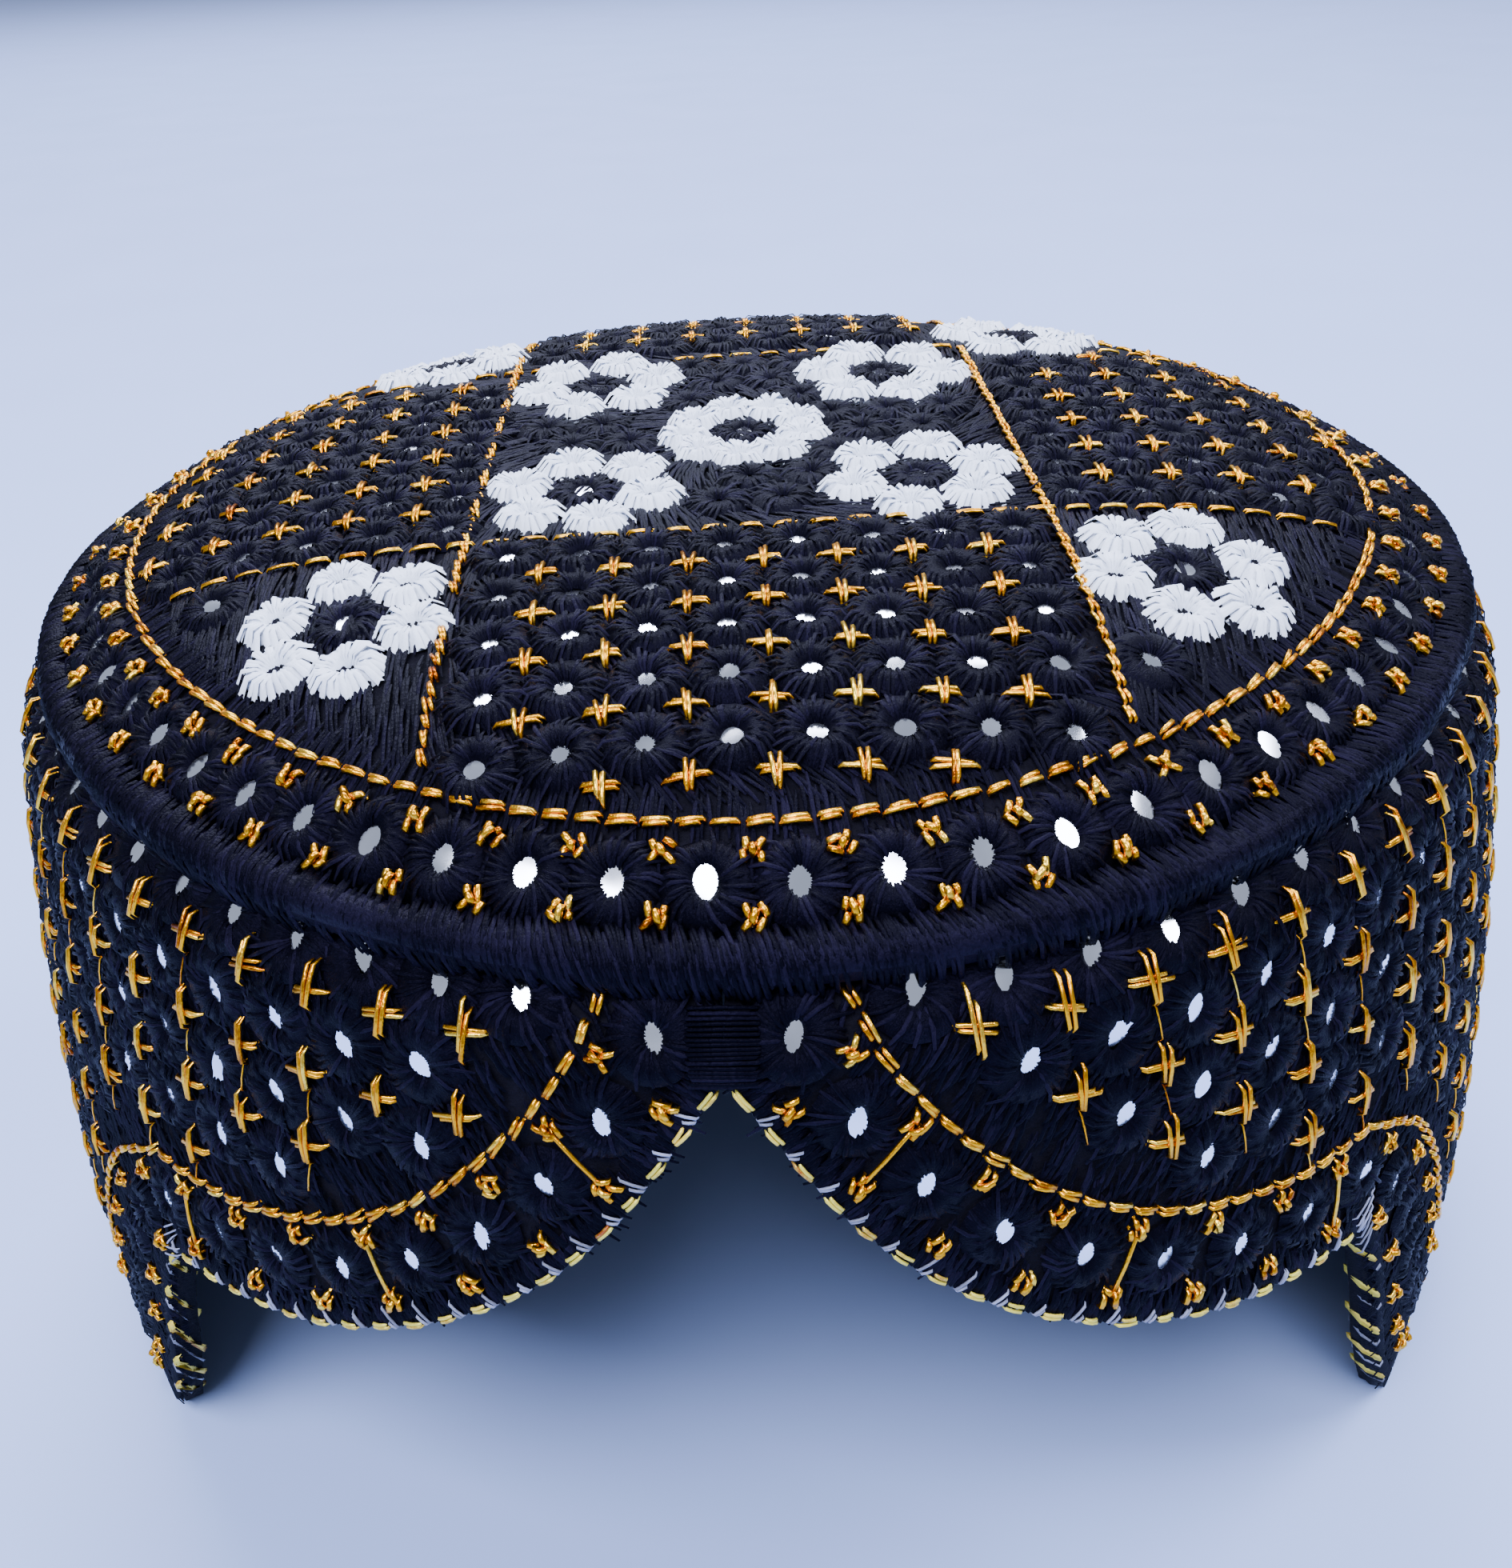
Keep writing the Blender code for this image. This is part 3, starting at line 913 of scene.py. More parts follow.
# Crown layout in mm from the rim's middle: the two pairs of gold lines and the lattice of cells
LINE_LEFT = -31.2
LINE_RIGHT = 33.0
LINE_RIGHT_SLANT = -0.035
LINE_FRONT = -22.0
LINE_BACK = 34.0
CELL_X = 7.95
CELL_Y = 8.35
CELL_ORIGIN = (-26.0, -59.4)
RING_SHARE = 0.877
BAND_MIRROR_SHARE = 0.938
BAND_KNOT_SHARES = (0.908, 0.970)
BAND_PITCH = 8.2
BAND_START = -3.8
SQUARE_PITCH = 7.4
CROWN_FILL_STITCHES = 26500
CROWN_REACH = 88.0
CROWN_FILL_SHARE = 0.985
CORNER_CELL_SHARE = 0.79
CORNER_CELL_TURNS = np.arange(4.0, 360.0, 8.0)
# How far in mm each kind of stitch stays from the middle of a white flower
FLOWER_CLEARING = {"cells": 14.4, "stars": 12.6, "corners": 13.4, "lines": 11.6}


def crown_share(x, y):
    """How far a crown point lies from the middle, as a share of the way to the rim."""
    return np.hypot(x, y) / rim_radius(np.arctan2(y, x))


def crown_patch(x, y):
    """Which of the nine patches of the crown a point is in, as column and row from -1 to 1."""
    column = np.where(x < LINE_LEFT, -1, np.where(x > LINE_RIGHT + LINE_RIGHT_SLANT * y, 1, 0))
    row = np.where(y < LINE_FRONT, -1, np.where(y > LINE_BACK, 1, 0))
    return column, row


def clear_of_lines(x, y, margin):
    """True where a point is further from every gold line than a margin."""
    right = LINE_RIGHT + LINE_RIGHT_SLANT * y
    return ((np.abs(x - LINE_LEFT) > margin) & (np.abs(x - right) > margin)
            & (np.abs(y - LINE_FRONT) > margin) & (np.abs(y - LINE_BACK) > margin))


def flower_centres():
    """Middles of the white flowers in mm by name, read from their solids."""
    centres = {}
    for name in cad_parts:
        if name.startswith("flower"):
            low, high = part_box(name)
            centres[name] = ((low[0] + high[0]) / 2.0 / MM, (low[1] + high[1]) / 2.0 / MM)
    return centres


def crown_cells(centres):
    """Places of the crown's mirror cells and gold crosses, inside the gold ring and clear of the flowers."""
    i, j = np.meshgrid(np.arange(-10, 18), np.arange(-4, 22), indexing="ij")
    found = []
    for shift, share, margin in ((0.0, RING_SHARE - 0.030, 2.6), (0.5, RING_SHARE - 0.025, 3.2)):
        x = (CELL_ORIGIN[0] + CELL_X * (i + shift)).ravel()
        y = (CELL_ORIGIN[1] + CELL_Y * (j + shift)).ravel()
        column, row = crown_patch(x, y)
        beside = (np.abs(column) + np.abs(row)) == 1
        keep = beside & (crown_share(x, y) < share) & clear_of_lines(x, y, margin)
        keep = keep & bare_ground(x, y, centres, FLOWER_CLEARING["cells"])
        found.append([x[keep], y[keep]])
    return found


def square_cells(centres):
    """Star-like mounds that fill the middle square round the flowers."""
    i, j = np.meshgrid(np.arange(-8, 9), np.arange(-8, 9), indexing="ij")
    x = (i * SQUARE_PITCH + (j % 2) * SQUARE_PITCH / 2.0 + 1.0).ravel()
    y = (j * SQUARE_PITCH * 0.866 + 5.0).ravel()
    column, row = crown_patch(x, y)
    keep = (column == 0) & (row == 0) & clear_of_lines(x, y, 2.6)
    keep = keep & bare_ground(x, y, centres, FLOWER_CLEARING["stars"])
    return x[keep], y[keep]


def corner_cells(centres):
    """The few mirror cells of the corner patches, outside their flowers."""
    angle = np.radians(CORNER_CELL_TURNS)
    radius = rim_radius(angle) * CORNER_CELL_SHARE
    x = radius * np.cos(angle)
    y = radius * np.sin(angle)
    column, row = crown_patch(x, y)
    keep = (np.abs(column) + np.abs(row) == 2) & clear_of_lines(x, y, 3.4)
    keep = keep & bare_ground(x, y, centres, FLOWER_CLEARING["corners"])
    return x[keep], y[keep]


def clear_of_flowers(place, centres):
    """The places that no white flower covers."""
    keep = bare_ground(place[0][:, 0], place[0][:, 1], centres, FLOWER_CLEARING["lines"])
    return [group[keep] for group in place]


def bare_ground(x, y, cells, reach):
    """True where a point is further than a reach from the middle of every cell or flower."""
    keep = np.ones(len(x), bool)
    for cx, cy in zip(*cells):
        keep = keep & (np.hypot(x - cx, y - cy) > reach)
    return keep


class CAP_OT_crown_stitches(bpy.types.Operator):
    """Embroider the crown: buttonhole cells, mirrors, gold crosses, knots and lines"""
    bl_idname = "cap.crown_stitches"
    bl_label = "Crown stitches"

    def execute(self, context):
        sizes = context.scene.cap_sizes
        opening = (sizes.opening_width / MM / 2.0, sizes.opening_length / MM / 2.0)
        outer = sizes.cell_outer / MM
        gold_size = sizes.gold_thickness / MM
        centres = np.array(list(flower_centres().values())).T
        cells, cross_places = crown_cells(centres)
        ring = turn_of(BAND_START) + np.linspace(0.0, 2.0 * np.pi, 121)

        def ring_path(share, pitch, start=0.5):
            radius = rim_radius(ring) * share
            return along_path(crown_frames, radius * np.cos(ring), radius * np.sin(ring), pitch, start)

        black = Threads(SEEDS["crown"])
        count = sizes.cell_threads
        lattice = crown_frames(*cells)
        buttonhole_cells(black, lattice, (0.90, 1.0), outer, count, 1.15)
        hearts = crown_frames(*centres)
        buttonhole_cells(black, hearts, opening, 4.3, count, 0.75)
        corners = corner_cells(centres)
        mirrored = crown_frames(*corners)
        buttonhole_cells(black, mirrored, (0.9, 1.3), outer, count, 0.75, slant=0.6)
        stars = square_cells(centres)
        buttonhole_cells(black, crown_frames(*stars), (0.35, 0.5), 4.4, 26, 0.75, fray=0.2)
        black.make("crown_stitches", shared(black_rayon))

        border = Threads(SEEDS["border"])
        band = ring_path(BAND_MIRROR_SHARE, BAND_PITCH, 0.0)
        buttonhole_cells(border, band, opening, outer * 0.98, count, 0.85)
        rng = border.rng
        span = (-CROWN_REACH, CROWN_REACH)
        spots = scattered(span, span, CROWN_FILL_STITCHES, rng)
        x, y = (group[crown_share(*spots) < CROWN_FILL_SHARE] for group in spots)
        covered = [np.concatenate(group) for group in zip(cells, corners, stars, band[0][:, :2].T)]
        keep = bare_ground(x, y, covered, 4.1)
        x, y = x[keep], y[keep]
        column, row = crown_patch(x, y)
        radial = np.arctan2(y, x)
        outside = crown_share(x, y) > RING_SHARE - 0.03
        corner = (np.abs(column) + np.abs(row)) == 2
        inside = np.where(corner, np.pi / 2.0, radial + 0.7)
        turn = np.where(outside, radial, inside) + rng.normal(0.0, 0.06, len(x))
        laid_stitches(border, crown_frames(x, y), turn, 5.2, 0.41, 0.20)
        border.make("crown_border_stitches", shared(black_rayon))

        shining = [np.concatenate(group) for group in zip(lattice, hearts, mirrored, band)]
        mirrors("crown_mirrors", shining, MIRROR_RADIUS, 0.08, SEEDS["crown_mirrors"])

        gold = Threads(SEEDS["crown_gold"])
        crosses(gold, crown_frames(*cross_places), 1.8, 1.7, 2.0, gold_size * 0.95, 0.58)
        for share in BAND_KNOT_SHARES:
            circle = ring_path(share, ring_length(share) / len(band[0]), 0.5)
            knots(gold, circle, 1.2, gold_size * 1.3, 0.60)
        dashes(gold, ring_path(RING_SHARE, 3.1), 2.5, gold_size * 0.95, 0.46, 0.10, 0.62)
        reach = np.linspace(-77.0, 71.0, 40)
        for line, slope in ((LINE_LEFT, 0.0), (LINE_RIGHT, LINE_RIGHT_SLANT)):
            x = line + slope * reach
            inside = crown_share(x, reach) < RING_SHARE
            place = along_path(crown_frames, x[inside], reach[inside], 2.2)
            dashes(gold, clear_of_flowers(place, centres), 1.9, gold_size * 0.85, 0.40, 0.22, 0.60)
        for line in (LINE_FRONT, LINE_BACK):
            y = np.full_like(reach, line)
            inside = crown_share(reach, y) < RING_SHARE
            place = along_path(crown_frames, reach[inside], y[inside], 4.1)
            dashes(gold, clear_of_flowers(place, centres), 3.1, gold_size * 0.65, 0.32, 0.05, 0.55)
        gold.make("crown_gold", shared(gold_zari))
        return {"FINISHED"}


def ring_length(share):
    """Length in mm of a ring round the crown."""
    angle = np.linspace(0.0, 2.0 * np.pi, 721)
    radius = rim_radius(angle) * share
    point = crown_point(radius * np.cos(angle), radius * np.sin(angle))
    return np.linalg.norm(np.diff(point, axis=0), axis=1).sum()


class CAP_OT_flowers(bpy.types.Operator):
    """Make the white flowers, each of raised buttonhole petals"""
    bl_idname = "cap.flowers"
    bl_label = "White flowers"

    def execute(self, context):
        sizes = context.scene.cap_sizes
        for number, (name, (x, y)) in enumerate(sorted(flower_centres().items())):
            threads = Threads(SEEDS["flowers"] + number)
            fused = name == "flower_ring"
            turn = FLOWER_TURNS[name]
            petals, distance, scale = RING_FLOWER if fused else OPEN_FLOWER
            swing = np.radians(turn) + (np.arange(petals) + 0.5) * 2.0 * np.pi / petals
            place = crown_frames(x + distance * np.cos(swing), y + distance * np.sin(swing))
            radius = sizes.petal_outer / MM * scale
            buttonhole_cells(threads, place, (1.10, 0.48), radius, sizes.petal_threads, 1.25, fray=0.045,
                             swirl=0.08, tips=1.0, widest=0.46)
            piece = threads.make(name + "_petals", shared(white_cotton))
            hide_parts(name)
        return {"FINISHED"}


# Petals, their distance from the middle in mm and their scale, in the middle ring and the other flowers
RING_FLOWER = (9, 7.7, 0.86)
OPEN_FLOWER = (6, 8.2, 1.0)
# How far each flower is turned, in degrees
FLOWER_TURNS = {
    "flower_front_left": 12.0, "flower_front_right": 45.0,
    "flower_back_left": 12.0, "flower_back_right": 30.0,
    "flower_square_front_left": 14.0, "flower_square_front_right": 46.0,
    "flower_square_back_left": 42.0, "flower_square_back_right": 20.0,
    "flower_ring": 4.0,
}

# Wall lattice: crosses stand in columns by reach from the notch in degrees, which lean outwards lower down
COLUMN_FIRST = {"left": 16.2, "right": 15.2}
COLUMN_PITCH = 5.8
ROW_PITCH = 8.7
WALL_OPENING = (0.66, 1.40)
WALL_SLANT = 0.35
MM_PER_DEGREE = 1.6
GROUND_DENSITY = 0.92
BAND_CELL_PITCH = 10.3
BAND_CELL_START = 0.02
BAND_MIDDLE = 0.56
CROSS_FIRST_DEPTH = 7.4
MIRROR_FIRST_DEPTH = 3.0
LEAN = 0.095


def wall_lattice(side, part):
    """Azimuths and depths of the mirror cells and the crosses of one panel, inside its gold arch."""
    found = []
    lattices = ((-0.5, MIRROR_FIRST_DEPTH, 3.0), (0.0, CROSS_FIRST_DEPTH, 3.6))
    for column_shift, first_depth, margin in lattices:
        columns, rows = np.meshgrid(np.arange(-2, 32), np.arange(0, 12), indexing="ij")
        depth = (first_depth + ROW_PITCH * rows).ravel()
        reach = (COLUMN_FIRST[side] + COLUMN_PITCH * (columns + column_shift)).ravel()
        reach = reach + LEAN * (depth - CROSS_FIRST_DEPTH) * np.clip(1.0 - reach / 100.0, 0.0, 1.0)
        azimuth = NOTCH + sign_of(side) * reach
        if part == "front":
            inside = np.abs(azimuth - NOTCH) < abs(SEAMS[side] - NOTCH)
        else:
            inside = (np.abs(azimuth) > abs(SEAMS[side])) & (np.abs(azimuth) < 179.0)
        slope = np.minimum(arch_depth(azimuth - 1.5, side, part), arch_depth(azimuth + 1.5, side, part))
        keep = inside & (depth < slope - margin) & (np.abs(reach) > 6.0)
        found.append((azimuth[keep], np.maximum(depth[keep], WALL_TOP + 0.6)))
    return found


class CAP_OT_wall_stitches(bpy.types.Operator):
    """Embroider the wall panels: cells, mirrors, crosses, arches and knots"""
    bl_idname = "cap.wall_stitches"
    bl_label = "Wall stitches"

    def execute(self, context):
        sizes = context.scene.cap_sizes
        outer = sizes.cell_outer / MM
        gold_size = sizes.gold_thickness / MM
        count = sizes.cell_threads - 6
        for number, (side, part) in enumerate(PANELS):
            node = panel_node(side, part)
            slant = -WALL_SLANT * sign_of(side)
            cells, cross_places = wall_lattice(side, part)
            black = Threads(SEEDS["wall"] + number)
            lattice = wall_frames(*cells)
            buttonhole_cells(black, lattice, WALL_OPENING, outer * 1.04, count, 0.75, slant=slant)
            middle = edge_path(side, part, BAND_MIDDLE)
            band = along_path(wall_frames, *middle, BAND_CELL_PITCH, BAND_CELL_START)
            upright = stood_up(band)
            buttonhole_cells(black, upright, WALL_OPENING, outer * 0.98, count, 0.75, slant=slant * 0.7)
            black.make(node + "_stitches", shared(black_rayon))

            ground = Threads(SEEDS["wall_ground"] + number)
            covered = [np.append(*pair) for pair in zip(cells, band_places(side, part))]
            lay_wall_ground(ground, side, part, covered)
            ground.make(node + "_ground_stitches", shared(black_rayon))

            shining = [np.concatenate(group) for group in zip(lattice, upright)]
            mirrors(node + "_mirrors", shining, MIRROR_RADIUS, 0.10, SEEDS["wall_mirrors"] + number)

            gold = Threads(SEEDS["wall_gold"] + number)
            crosses(gold, wall_frames(*cross_places), 2.8, 2.2, 2.2, gold_size * 0.85, 0.62,
                    tilt=-0.16 * sign_of(side))
            between = (np.arange(len(band[0])) + BAND_CELL_START + 0.5) / len(band[0])
            pair = []
            for share in (0.25, 0.83):
                fine = along_path(wall_frames, *edge_path(side, part, share), 0.5)
                chosen = (between * (len(fine[0]) - 1)).astype(int)
                pair.append([group[chosen] for group in fine])
                knots(gold, pair[-1], 1.15, gold_size * 1.1, 0.60)
            if part == "front":
                join_knots(gold, *pair)
            join_columns(gold, side, cross_places)
            arch = along_path(wall_frames, *edge_path(side, part, 1.0), 3.1)
            dashes(gold, arch, 2.4, gold_size * 0.9, 0.46, 0.12, 0.62)
            gold.make(node + "_gold", shared(gold_zari))
        return {"FINISHED"}


def join_columns(threads, side, crosses_at):
    """Fine gold threads that run down from some crosses to the next one of their column."""
    azimuth, depth = crosses_at
    chosen = threads.rng.random(len(azimuth)) < 0.55
    place = wall_frames(azimuth[chosen], depth[chosen] + 2.0)
    number = chosen.sum()
    zeros = np.zeros(number)
    lean = LEAN * MM_PER_DEGREE * 4.0 * sign_of(side) + threads.rng.normal(0.0, 0.15, number)
    straight_stitches(threads, place, zeros, zeros, lean, zeros - 4.2, 0.20, 0.55)


def join_knots(threads, low, high):
    """Gold threads that run between every third pair of the band's knots."""
    chosen = np.arange(len(low[0])) % 3 == 1
    middle = [(a[chosen] + b[chosen]) / 2.0 for a, b in zip(low, high)]
    gap = high[0][chosen] - low[0][chosen]
    x = (gap * middle[1]).sum(1) / 2.0
    y = (gap * middle[2]).sum(1) / 2.0
    straight_stitches(threads, middle, -x, -y, x, y, 0.48, 0.60)


def stood_up(place):
    """The same places with their axes turned level and upright along the wall."""
    point, along, across, normal = place
    level = unit(np.cross(np.array([0.0, 0.0, 1.0]) + np.zeros_like(normal), normal))
    return point, level, np.cross(normal, level), normal


def band_places(side, part):
    """Azimuths and depths at close steps along the middle of the band by the hem."""
    azimuth, depth = edge_path(side, part, BAND_MIDDLE)
    marks = np.linspace(0.0, 1.0, len(azimuth))
    fine = np.linspace(0.0, 1.0, 3 * len(azimuth))
    return np.interp(fine, marks, azimuth), np.interp(fine, marks, depth)


def lay_wall_ground(threads, side, part, cells):
    """Slanting fill stitches on the parts of a wall panel that its cells leave bare."""
    end = SEAMS[side] if part == "front" else sign_of(side) * 179.5
    start = NOTCH + 0.5 * sign_of(side) if part == "front" else SEAMS[side] + 0.4 * sign_of(side)
    deepest = 54.0 if part == "front" else 110.0
    rng = threads.rng
    number = int(abs(end - start) * deepest * GROUND_DENSITY)
    azimuth, depth = scattered(sorted((start, end)), (WALL_TOP + 0.4, deepest), number, rng)
    hem = hem_depth(azimuth, side, part)
    inside = (depth < hem - 1.6) & (depth < rim_height(turn_of(azimuth)) - 2.5)
    azimuth, depth, hem = azimuth[inside], depth[inside], hem[inside]
    arc = MM_PER_DEGREE
    keep = bare_ground(azimuth * arc, depth, (cells[0] * arc, cells[1]), 3.7)
    azimuth, depth, hem = azimuth[keep], depth[keep], hem[keep]
    slope = (hem_depth(azimuth + 1.0, side, part) - hem_depth(azimuth - 1.0, side, part)) / (2.0 * arc)
    by_hem = np.arctan2(1.0, slope)
    leaning = np.pi / 2.0 - WALL_SLANT * 1.6 * sign_of(side)
    turn = np.where(hem - depth < 7.0, by_hem, leaning) + rng.normal(0.0, 0.12, len(azimuth))
    laid_stitches(threads, wall_frames(azimuth, depth), turn, 4.0, 0.43, 0.28)


class CAP_OT_hem(bpy.types.Operator):
    """Bind the hem with black, yellow and grey stitches"""
    bl_idname = "cap.hem"
    bl_label = "Hem"

    def execute(self, context):
        yellow = Threads(SEEDS["hem_yellow"])
        grey = Threads(SEEDS["hem_grey"])
        black = Threads(SEEDS["hem_black"])
        for side, part in PANELS:
            path = edge_path(side, part, 0.0)
            bind_edge(black, inward(along_path(wall_frames, *path, 0.55)), 3.0, 0.34, 0.22, 0.3)
            marks = inward(along_path(wall_frames, *path, 4.6))
            if part == "side":
                marks = [group[SHEER_LENGTH // 4:] for group in marks]
            edge_dashes(yellow, marks, 2.3, 0.40)
            edge_ties(grey, marks, 2.2, 0.30)
            if part == "front":
                continue
            bars = inward(along_path(wall_frames, *path, 8.6, 0.8))
            point, along, up_panel, normal = [group[:SHEER_LENGTH // 9] for group in bars]
            slant = BAR_SLANTS[side]
            for step in (-0.28, 0.28):
                bind_edge(yellow, (point + along * step, along, up_panel, normal), 0.5, 0.34, 0.60, slant)
            bind_edge(grey, (point + along * 3.6, along, up_panel, normal), 1.6, 0.14, 0.34, slant)
        black.make("hem_binding", shared(black_rayon))
        yellow.make("hem_yellow", shared(yellow_cotton))
        grey.make("hem_grey", shared(grey_cotton))
        return {"FINISHED"}


def inward(place):
    """Places along a hem with their second axis turned to point up the panel."""
    point, along, across, normal = place
    flip = np.where(across[:, 2:] < 0.0, -1.0, 1.0)
    return point, along, across * flip, normal


# Length in mm of the side walls' sheer front edges, which barred wraps bind
SHEER_LENGTH = 52
# How far in mm each bar of those wraps slants along the edge from the outer face to the inner
BAR_SLANTS = {"left": 10.0, "right": -2.6}
# One binding stitch over the hem: share of its way up the panel, mm out from the outer face, outward tilt
# and share of its slant along the edge
BINDING_SECTION = (
    (1.00, -0.60, 1.0, -0.50),
    (0.55, 0.15, 1.0, -0.49),
    (0.10, 0.15, 0.8, -0.42),
    (-0.03, -1.30, 0.0, 0.0),
    (0.12, -2.90, -0.8, 0.42),
    (0.50, -3.10, -1.0, 0.5),
)


def bind_edge(threads, place, length, width, height, slant):
    """Threads that pass from the outer face round the hem's edge to the inner face, with a slant in mm."""
    point, along, up_panel, normal = place
    number = len(point)
    rng = threads.rng
    section = np.array(BINDING_SECTION)
    reach = length * (1.0 + rng.normal(0.0, 0.16, (number, 1)))
    rise = section[None, :, 0] * reach
    lean = (slant + rng.normal(0.0, 0.15, (number, 1))) * section[None, :, 3]
    centre = (point[:, None] + up_panel[:, None] * rise[..., None] + normal[:, None] * section[None, :, 1:2]
              + along[:, None] * lean[..., None])
    tilt = section[None, :, 2:3]
    up = normal[:, None] * tilt - up_panel[:, None] * (1.0 - np.abs(tilt))
    centre[..., 2] = np.maximum(centre[..., 2], 0.30)
    threads.add(centre, up, width, height)


def edge_dashes(threads, place, length, thickness):
    """Short dashes of two yellow threads along the very edge of the hem."""
    point, along, up_panel, normal = place
    number = len(point)
    share = np.array([-1.0, -0.7, 0.0, 0.7, 1.0])
    rise = np.array([-0.2, 0.38, 0.50, 0.38, -0.2])
    for k in range(2):
        half = length / 2.0 * (1.0 + threads.rng.normal(0.0, 0.12, number))
        start = 0.20 + 0.40 * k + threads.rng.normal(0.0, 0.08, number)
        slant = 0.10 + threads.rng.normal(0.0, 0.06, number)
        centre = (point[:, None] + along[:, None] * (half[:, None] * share)[..., None]
                  + up_panel[:, None] * (start[:, None] + slant[:, None] * half[:, None] * share)[..., None]
                  + normal[:, None] * (rise[None, :] + 0.0 * half[:, None])[..., None])
        centre[..., 2] = np.maximum(centre[..., 2], 0.35)
        lift = normal[:, None] + np.zeros_like(centre)
        width = thickness / 2.0 * np.array([0.6, 1.0, 1.0, 1.0, 0.6])
        threads.add(centre, lift, width, thickness / 2.0, ring=5, closed=True)


def edge_ties(threads, place, length, thickness):
    """Slanted grey ties that run up from the hem between the yellow dashes."""
    point, along, up_panel, normal = place
    number = len(point)
    spot = (point + along * 2.2, along, up_panel, normal)
    rng = threads.rng
    for k in range(2):
        foot = rng.normal(0.3 * k, 0.1, number)
        top = length * (1.0 + rng.normal(0.0, 0.2, number)) * (1.0 - 0.4 * k)
        straight_stitches(threads, spot, foot, foot * 0.0 + 0.1, foot + 0.7, top, thickness, 0.45)


class CAP_OT_joins(bpy.types.Operator):
    """Make the satin bar over the front notch and the ties at the side seams"""
    bl_idname = "cap.joins"
    bl_label = "Joins"

    def execute(self, context):
        bar = Threads(SEEDS["join"])
        depth = np.linspace(4.4, 9.9, 18)
        place = wall_frames(np.full_like(depth, NOTCH), depth)
        width = 3.6 + bar.rng.normal(0.0, 0.15, len(depth))
        fall = bar.rng.normal(0.0, 0.07, len(depth))
        straight_stitches(bar, place, -width, 0.0 * width, width, fall, 0.44, 0.9, sink=0.2)
        piece = bar.make("front_join_satin", shared(black_rayon))
        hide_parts("front_join")
        ties = Threads(SEEDS["ties"])
        for side in SEAMS:
            depth = np.linspace(50.0, 56.5, 6)
            azimuth = np.full_like(depth, SEAMS[side]) + sign_of(side) * np.linspace(0.4, 1.2, 6)
            place = wall_frames(azimuth, depth)
            slope = 1.2 + ties.rng.normal(0.0, 0.2, len(depth))
            half = 1.5 + ties.rng.normal(0.0, 0.2, len(depth))
            straight_stitches(ties, place, -half, -slope, half, slope, 0.22, 0.55)
        ties.make("side_seam_ties", shared(grey_cotton))
        return {"FINISHED"}


class CAP_OT_stage(bpy.types.Operator):
    """Set up the pale table, the soft lights and the camera"""
    bl_idname = "cap.stage"
    bl_label = "Stage"

    def execute(self, context):
        make_table()
        make_lights()
        make_camera()
        return {"FINISHED"}


# Half the table's width in metres, and the pale room round it
TABLE_HALF = 14.0
ROOM_COLOUR = "#d3def8"
ROOM_STRENGTH = 0.58
LAMP_COLOUR = "#dfe6ff"


def make_table():
    """A wide pale table top."""
    corners = [(-TABLE_HALF, -TABLE_HALF, 0.0), (TABLE_HALF, -TABLE_HALF, 0.0),
               (TABLE_HALF, TABLE_HALF, 0.0), (-TABLE_HALF, TABLE_HALF, 0.0)]
    points = np.array(corners) / MM
    mesh = array_mesh("table_top", points, np.array([[0, 1, 2, 3]]))
    material, tree, shader = blank_material("painted_table_top")
    body = add_node(tree, "ShaderNodeTexCoord")
    haze = add_node(tree, "ShaderNodeTexNoise", {},
                    {"Vector": body.outputs["Object"], "Scale": 12.0, "Detail": 3.0})
    level = add_node(tree, "ShaderNodeMapRange",
                     links={"Value": haze.outputs["Fac"], "To Min": 0.42, "To Max": 0.58})
    tree.links.new(level.outputs["Result"], shader.inputs["Roughness"])
    shader.inputs["Base Color"].default_value = rgba(bpy.context.scene.cap_colours.floor)
    top = bpy.data.objects.new("table_top", mesh)
    mesh.materials.append(material)
    bpy.context.scene.collection.objects.link(top)


# Soft lights: name, place, aim, width, depth in metres, and watts
LIGHTS = (
    ("ceiling_front", (-0.30, -0.70, 1.30), (0.0, 0.0, 0.06), 1.00, 0.60, 45.0),
    ("ceiling_right", (0.85, 0.10, 1.15), (0.0, 0.0, 0.06), 0.70, 0.50, 22.0),
    ("ceiling_back", (-0.30, 2.20, 2.40), (0.0, 0.6, 0.06), 2.60, 1.20, 205.0),
)


def make_lights():
    """A pale surround and soft panels overhead."""
    world = bpy.data.worlds.new("pale_room")
    bpy.context.scene.world = world
    world.use_nodes = True
    background = world.node_tree.nodes["Background"]
    background.inputs["Color"].default_value = rgba(hex_colour(ROOM_COLOUR))
    background.inputs["Strength"].default_value = ROOM_STRENGTH
    for name, place, aim, width, depth, watts in LIGHTS:
        lamp = bpy.data.lights.new(name, "AREA")
        lamp.shape = "RECTANGLE"
        lamp.size = width
        lamp.size_y = depth
        lamp.energy = watts
        lamp.color = hex_colour(LAMP_COLOUR)
        light = bpy.data.objects.new(name, lamp)
        light.location = place
        light.rotation_euler = (Vector(aim) - Vector(place)).to_track_quat("-Z", "Y").to_euler()
        bpy.context.scene.collection.objects.link(light)


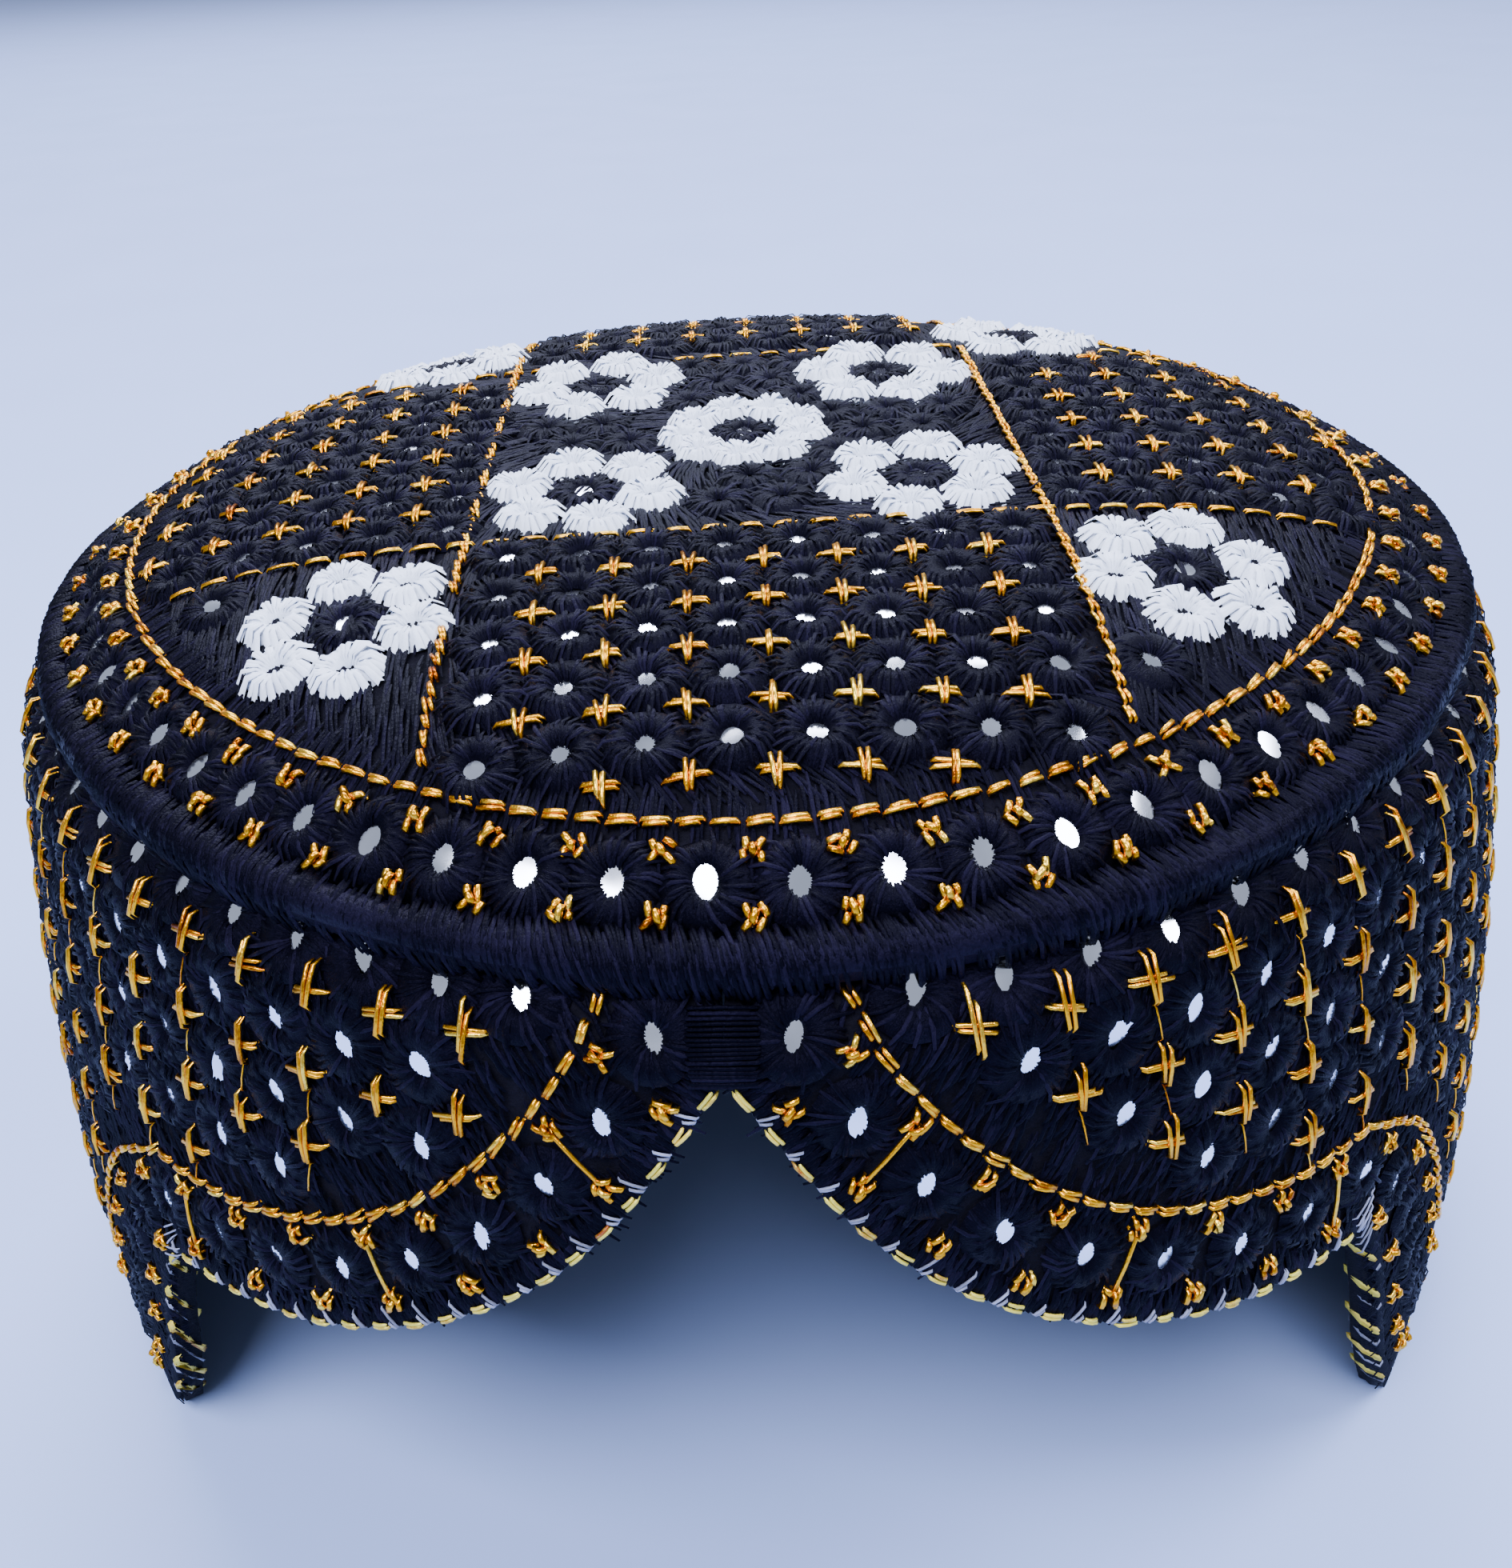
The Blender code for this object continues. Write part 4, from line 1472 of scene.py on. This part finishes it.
def make_camera():
    """The camera at the photograph's place and angle."""
    level = math.cos(CAMERA_PITCH)
    forward = Vector((math.sin(CAMERA_YAW) * level, math.cos(CAMERA_YAW) * level, -math.sin(CAMERA_PITCH)))
    right = Vector((math.cos(CAMERA_YAW), -math.sin(CAMERA_YAW), 0.0))
    up = right.cross(forward)
    rolled_right = math.cos(CAMERA_ROLL) * right + math.sin(CAMERA_ROLL) * up
    rolled_up = math.cos(CAMERA_ROLL) * up - math.sin(CAMERA_ROLL) * right
    data = bpy.data.cameras.new("camera")
    data.sensor_width = SENSOR
    data.lens = SENSOR * FOCAL_PIXELS / IMAGE_HEIGHT
    data.clip_start = 0.01
    camera = bpy.data.objects.new("camera", data)
    turn = Matrix((rolled_right, rolled_up, -forward)).transposed()
    camera.matrix_world = Matrix.Translation(Vector(CAMERA_PLACE) * MM) @ turn.to_4x4()
    bpy.context.scene.collection.objects.link(camera)
    bpy.context.scene.camera = camera


STEPS = (CAP_OT_crown_cloth, CAP_OT_wall_cloth, CAP_OT_rim, CAP_OT_crown_stitches, CAP_OT_flowers,
         CAP_OT_wall_stitches, CAP_OT_hem, CAP_OT_joins, CAP_OT_stage)


class CAP_PT_panel(bpy.types.Panel):
    """Sizes, colours and steps of the cap"""
    bl_label = "Sindhi cap"
    bl_idname = "CAP_PT_panel"
    bl_space_type = "VIEW_3D"
    bl_region_type = "UI"
    bl_category = "Cap"

    def draw(self, context):
        for group in (context.scene.cap_sizes, context.scene.cap_colours):
            for name in group.__annotations__:
                self.layout.prop(group, name)
        for step in STEPS:
            self.layout.operator(step.bl_idname)


CLASSES = (CapSizes, CapColours) + STEPS + (CAP_PT_panel,)


def register():
    for item in CLASSES:
        bpy.utils.register_class(item)
    bpy.types.Scene.cap_sizes = PointerProperty(type=CapSizes)
    bpy.types.Scene.cap_colours = PointerProperty(type=CapColours)


def unregister():
    del bpy.types.Scene.cap_colours
    del bpy.types.Scene.cap_sizes
    for item in reversed(CLASSES):
        bpy.utils.unregister_class(item)


def main():
    register()
    for step in STEPS:
        group, name = step.bl_idname.split(".")
        getattr(getattr(bpy.ops, group), name)()


if __name__ == "__main__":
    main()
